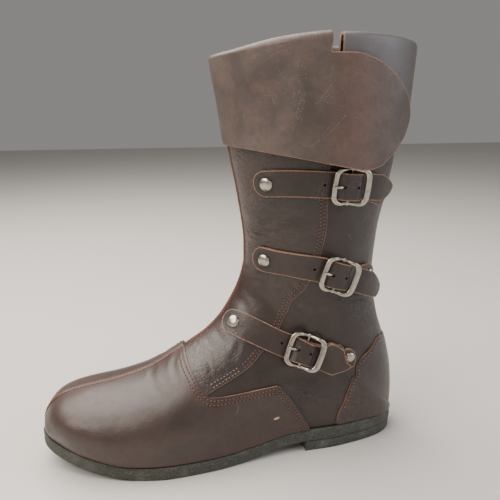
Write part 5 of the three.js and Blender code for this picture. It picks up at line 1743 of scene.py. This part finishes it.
def ridge_strip(name, last, section, turn, base):
    """Two leather edges that stand up side by side along a line."""
    rows = []
    for u in spread(12, -1, 1):
        beside = beside_line(last, section, turn, u * RIDGE_HALF)
        arch = math.sqrt(max(1 - u * u, 0)) * (1 - 0.55 * math.exp(-(u / 0.16) ** 2))
        rows.append(last.place(*beside, base - RIDGE_ROOT + (last.s.seam_ridge + RIDGE_ROOT) * arch))
    piece = net(name, np.array(rows), ["seam_edge"], flip=True)
    face_outward(piece)
    apply_modifier(piece, "SOLIDIFY", thickness=0.4 * MM, offset=-1)
    smooth(piece, 60)
    own(piece, "leather")


class BOOT_OT_stitching(bpy.types.Operator):
    """Double rows along the vamp and the front panel, the counter's tan row and the closed seams"""

    bl_idname = "boot.stitching"
    bl_label = "Stitching"

    def execute(self, context):
        s = sizes()
        last = Last(s)

        def double(name, section, turn, rows, height, material, pitch, holes, wobble=0.0):
            """Stitch rows beside a line. Each has its own name and its distance from the line."""
            for tag, aside in rows:
                line = beside_line(last, section, turn, aside)
                seam(f"{name}_{tag}", last, *line, height(last, *line), material, pitch, holes, wobble)

        # Rear edge of the vamp, then its middle
        turn = spread(900, 0.95, -0.93)
        rows = ((1, -s.row_inset), (2, -s.row_inset - s.row_gap))
        double("vamp_edge_stitches", vamp_edge(turn), turn, rows, vamp_offset, "brown_thread", 1, 0.55)
        section = spread(400, 0.9, 6.75)
        rows = ((1, -MIDDLE_ROWS), (2, MIDDLE_ROWS))
        double("vamp_middle_stitches", section, 0 * section, rows, vamp_offset, "tan_thread", 0.9, 0.45)

        # Rear edge of the front panel, with a pale thread at its foot
        rows = ((1, s.row_inset), (2, s.row_inset + s.row_gap * 0.9))
        section, low = spread(700, 8.75, 20.4), spread(90, 7.62, 8.75)
        double("panel_stitches", section, -panel_turn(section), rows, panel_offset, "brown_thread", 0.95, 0.5)
        double("panel_low_stitches", low, -panel_turn(low), rows, panel_offset, "pale_thread", 0.95, 0.5)

        # Counter
        level = spread(400, 10.55, 16.2)
        edge = table_curve(COUNTER_EDGE)(level)
        for name, sign in (("outer", -1), ("inner", 1)):
            double("counter_stitches", level, sign * edge, ((name, sign * COUNTER_ROW),), counter_offset,
                   "tan_thread", 1.05, 0.45, COUNTER_WOBBLE)

        # Closed seams down the front and the back of the shaft
        rows = (("outer", -SHAFT_ROWS), ("inner", SHAFT_ROWS))
        front, back = spread(500, 7.15, 20.6), spread(300, 16.2, 21)
        for name, section, turn, base in (("front", front, 0, s.panel_step), ("back", back, 1, 0.0)):
            turn = turn + 0 * section
            ridge_strip(f"{name}_seam", last, section, turn, base)
            double(f"{name}_seam_stitches", section, turn, rows, lambda last, level, turn: base + 0 * level,
                   "brown_thread", 0.8, 0.35)
        return {"FINISHED"}


# Scratches: the surface they are on, their places and their width in millimetres
SCRATCHES = [
    ("cuff", [(21.18, -0.443), (21.32, -0.463), (21.46, -0.483)], 0.4),
    ("cuff", [(21.12, -0.439), (21.2, -0.47), (21.36, -0.505)], 0.3),
    ("cuff", [(20.38, -0.423), (20.68, -0.479), (20.96, -0.519)], 0.45),
    ("cuff", [(21.64, -0.476), (21.56, -0.472), (21.48, -0.468)], 0.3),
    ("cuff", [(21.1, -0.51), (21.12, -0.484), (21.14, -0.458)], 0.25),
    ("cuff", [(21.05, -0.42), (21.2, -0.455), (21.3, -0.478)], 0.25),
    ("cuff", [(20.6, -0.455), (20.72, -0.47), (20.8, -0.484)], 0.3),
    ("cuff", [(21.88, -0.308), (21.93, -0.33), (21.94, -0.36)], 0.25),
    ("cuff", [(21.7, -0.323), (21.46, -0.35), (21.24, -0.375)], 0.22),
    ("cuff", [(21.5, -0.31), (21.34, -0.345), (21.2, -0.37)], 0.2),
    ("strap", [(19.3, -0.455), (19.42, -0.462), (19.66, -0.474)], 0.3),
    ("strap", [(19.28, -0.468), (19.44, -0.477), (19.6, -0.482)], 0.25),
    ("quarter", [(12.68, -0.599), (12.62, -0.62), (12.58, -0.645)], 0.35),
    ("quarter", [(14.62, -0.355), (14.45, -0.357), (14.28, -0.358)], 0.3),
    ("quarter", [(18.58, -0.642), (18.64, -0.63), (18.68, -0.618)], 0.35),
    ("quarter", [(11.76, -0.6), (11.7, -0.615), (11.66, -0.63)], 0.3),
    ("vamp", [(8.24, -0.418), (8.22, -0.436), (8.12, -0.449)], 0.35),
]
# How far the beads of a scratch overlap, the height of all strokes and how far they stand off the leather
SCRATCH_OVERLAP = 1.7
STROKE_HEIGHT = 0.14 * MM
STROKE_LIFT = 0.02 * MM
# How much higher than at its front end the top strap lies where it is scratched
STRAP_RISE = 0.35 * MM
# The cuff's ridge, where its dye is worn through in many short strokes: its line, the number of strokes,
# their size, how far they scatter beside it, and the middle and the spread of their places and their lean
WORN_RIDGE = [(21.9, -0.404), (21.6, -0.392), (21.3, -0.387), (21.08, -0.385), (20.84, -0.376), (20.4, -0.35)]
WORN_STROKES = 210
WORN_LENGTH = 2.2 * MM
WORN_WIDTH = 0.19 * MM
WORN_SCATTER = 1.9
WORN_PLACES = (0.55, 0.24)
WORN_LEAN = (0.25, 0.45)
WORN_SEED = 11
GOUGE = (9.04, -0.609)
GOUGE_LENGTH = 5.5 * MM
GOUGE_WIDTH = 2.2 * MM


class BOOT_OT_marks(bpy.types.Operator):
    """Scratches, the worn ridge of the cuff and a gouge in the vamp"""

    bl_idname = "boot.marks"
    bl_label = "Scratches and scuffs"

    def height(self, last, surface, section, turn):
        s = last.s
        if surface == "cuff":
            offset = leaf_middle(last, np.maximum(turn, NOTCH_FRONT), section)[1] + s.cuff_thickness / 2
            return offset - cuff_sink(last, section, turn)
        if surface == "vamp":
            return vamp_offset(last, section, turn)
        if surface == "strap":
            run = StrapRun(last, STRAPS[0])
            return run.strap_low + s.strap_thickness / 2 + STRAP_RISE + 0 * section
        return quarter_offset(last, section, turn)

    def strokes(self, last, surface, section, turn, heading, long, width, name, material):
        """Short strokes at places on a surface, each laid along its heading."""
        points = last.place(section, turn, self.height(last, surface, section, turn))
        normal = last.normal(section, turn)
        heading = unit(heading - normal * dot(heading, normal)[:, None])
        form = bead(long, width, STROKE_HEIGHT, 0, 6, 4)
        return copies(name, form, points + normal * STROKE_LIFT, heading, normal, material)

    def execute(self, context):
        last = Last(sizes())
        pieces = []
        for number, (surface, spots, width) in enumerate(SCRATCHES, 1):
            section, turn = smooth_line(spots, 24)
            points = last.point(section, turn)
            heading = np.gradient(points, axis=0)
            size = np.linalg.norm(heading, axis=1).mean()
            pieces.append(self.strokes(last, surface, section, turn, heading, SCRATCH_OVERLAP * size,
                                       width * MM, f"scratch_{number}", "scuff"))

        # Worn ridge: many strokes, thickest at its middle
        draw = np.random.RandomState(WORN_SEED)
        share = np.clip(draw.normal(*WORN_PLACES, WORN_STROKES), 0.01, 0.99)
        section, turn = (np.interp(share, spread(60), column) for column in smooth_line(WORN_RIDGE, 60))
        down = unit(last.point(section - 0.02, turn) - last.point(section, turn))
        across = unit(np.cross(last.normal(section, turn), down))
        aside = draw.normal(0, WORN_SCATTER, WORN_STROKES) * MM
        section, turn = last.slide(section, turn, across * aside[:, None])
        lean = draw.normal(*WORN_LEAN, WORN_STROKES)[:, None]
        pieces.append(self.strokes(last, "cuff", section, turn, down + across * lean, WORN_LENGTH, WORN_WIDTH,
                                   "worn_ridge", "scuff"))
        marks = own(joined(pieces), "leather")
        marks.name = "scratches"

        section, turn = (np.array([value]) for value in GOUGE)
        ahead = last.point(section + 0.05, turn) - last.point(section, turn)
        gouge = self.strokes(last, "vamp", section, turn, ahead, GOUGE_LENGTH, GOUGE_WIDTH, "vamp_gouge",
                             "tan_scar")
        own(gouge, "leather")
        return {"FINISHED"}


# Lights: name, place, size in metres, watts and tint
WARM = (1, 0.92, 0.84)
COOL = (0.9, 0.94, 1)
LAMPS = [
    ("overhead", (-0.45, 0.3, 1.15), 1.3, 42, WARM),
    ("window", (-0.95, -0.6, 0.95), 0.8, 14, WARM),
    ("side", (1.1, -0.5, 0.7), 0.9, 10, COOL),
    ("fill", (0.2, -1.5, 0.7), 1.0, 2.5, WARM),
]
LAMP_AIM = (-0.1, 0, 0.14)
SKY = (0.97, 0.94, 0.9, 1)
SKY_STRENGTH = 0.26
CAMERA_PLACE = (-0.1832, -0.4485, 0.2859)
CAMERA_TURN = (math.radians(75.3), 0, math.radians(-11.7))
CAMERA_LENS = 42.02
CAMERA_SENSOR = 36
FLOOR_SIZE = 6


class BOOT_OT_stage(bpy.types.Operator):
    """Pale floor, soft lights and the camera"""

    bl_idname = "boot.stage"
    bl_label = "Stage"

    def execute(self, context):
        deselect()
        bpy.ops.mesh.primitive_plane_add(size=FLOOR_SIZE, location=(0, 0, 0))
        floor = context.object
        floor.name = "floor"
        floor.data.materials.append(finish("pale_floor"))

        world = context.scene.world or bpy.data.worlds.new("studio")
        context.scene.world = world
        world.use_nodes = True
        sky = world.node_tree.nodes["Background"]
        sky.inputs["Color"].default_value = SKY
        sky.inputs["Strength"].default_value = SKY_STRENGTH
        for name, place, size, power, tint in LAMPS:
            bpy.ops.object.light_add(type="AREA", location=place)
            lamp = context.object
            lamp.name = name
            lamp.data.size = size
            lamp.data.energy = power
            lamp.data.color = tint
            aim = Vector(LAMP_AIM) - Vector(place)
            lamp.rotation_euler = aim.to_track_quat("-Z", "Y").to_euler()

        bpy.ops.object.camera_add(location=CAMERA_PLACE, rotation=CAMERA_TURN)
        camera = context.object
        camera.data.sensor_width = CAMERA_SENSOR
        camera.data.lens = CAMERA_LENS
        camera.data.clip_start = 0.01
        context.scene.camera = camera
        return {"FINISHED"}


class BOOT_PT_panel(bpy.types.Panel):
    """Boot pieces"""

    bl_idname = "BOOT_PT_panel"
    bl_label = "Boot"
    bl_space_type = "VIEW_3D"
    bl_region_type = "UI"
    bl_category = "Boot"

    def draw(self, context):
        for operator in OPERATORS:
            self.layout.operator(operator.bl_idname)
        for group in (context.scene.boot_sizes, context.scene.boot_colours):
            for name in group.bl_rna.properties.keys():
                if name not in ("rna_type", "name"):
                    self.layout.prop(group, name)


OPERATORS = [
    BOOT_OT_vamp, BOOT_OT_front_panel, BOOT_OT_quarters, BOOT_OT_lining, BOOT_OT_sole, BOOT_OT_cuff,
    BOOT_OT_straps, BOOT_OT_chapes, BOOT_OT_buckles, BOOT_OT_rivets, BOOT_OT_stitching, BOOT_OT_marks,
    BOOT_OT_stage,
]
CLASSES = [BootSizes, BootColours, *OPERATORS, BOOT_PT_panel]


def register():
    for made in CLASSES:
        bpy.utils.register_class(made)
    bpy.types.Scene.boot_sizes = bpy.props.PointerProperty(type=BootSizes)
    bpy.types.Scene.boot_colours = bpy.props.PointerProperty(type=BootColours)


def unregister():
    del bpy.types.Scene.boot_sizes
    del bpy.types.Scene.boot_colours
    for made in reversed(CLASSES):
        bpy.utils.unregister_class(made)


def main():
    register()
    for operator in OPERATORS:
        group, name = operator.bl_idname.split(".")
        getattr(getattr(bpy.ops, group), name)()
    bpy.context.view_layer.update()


if __name__ == "__main__":
    main()
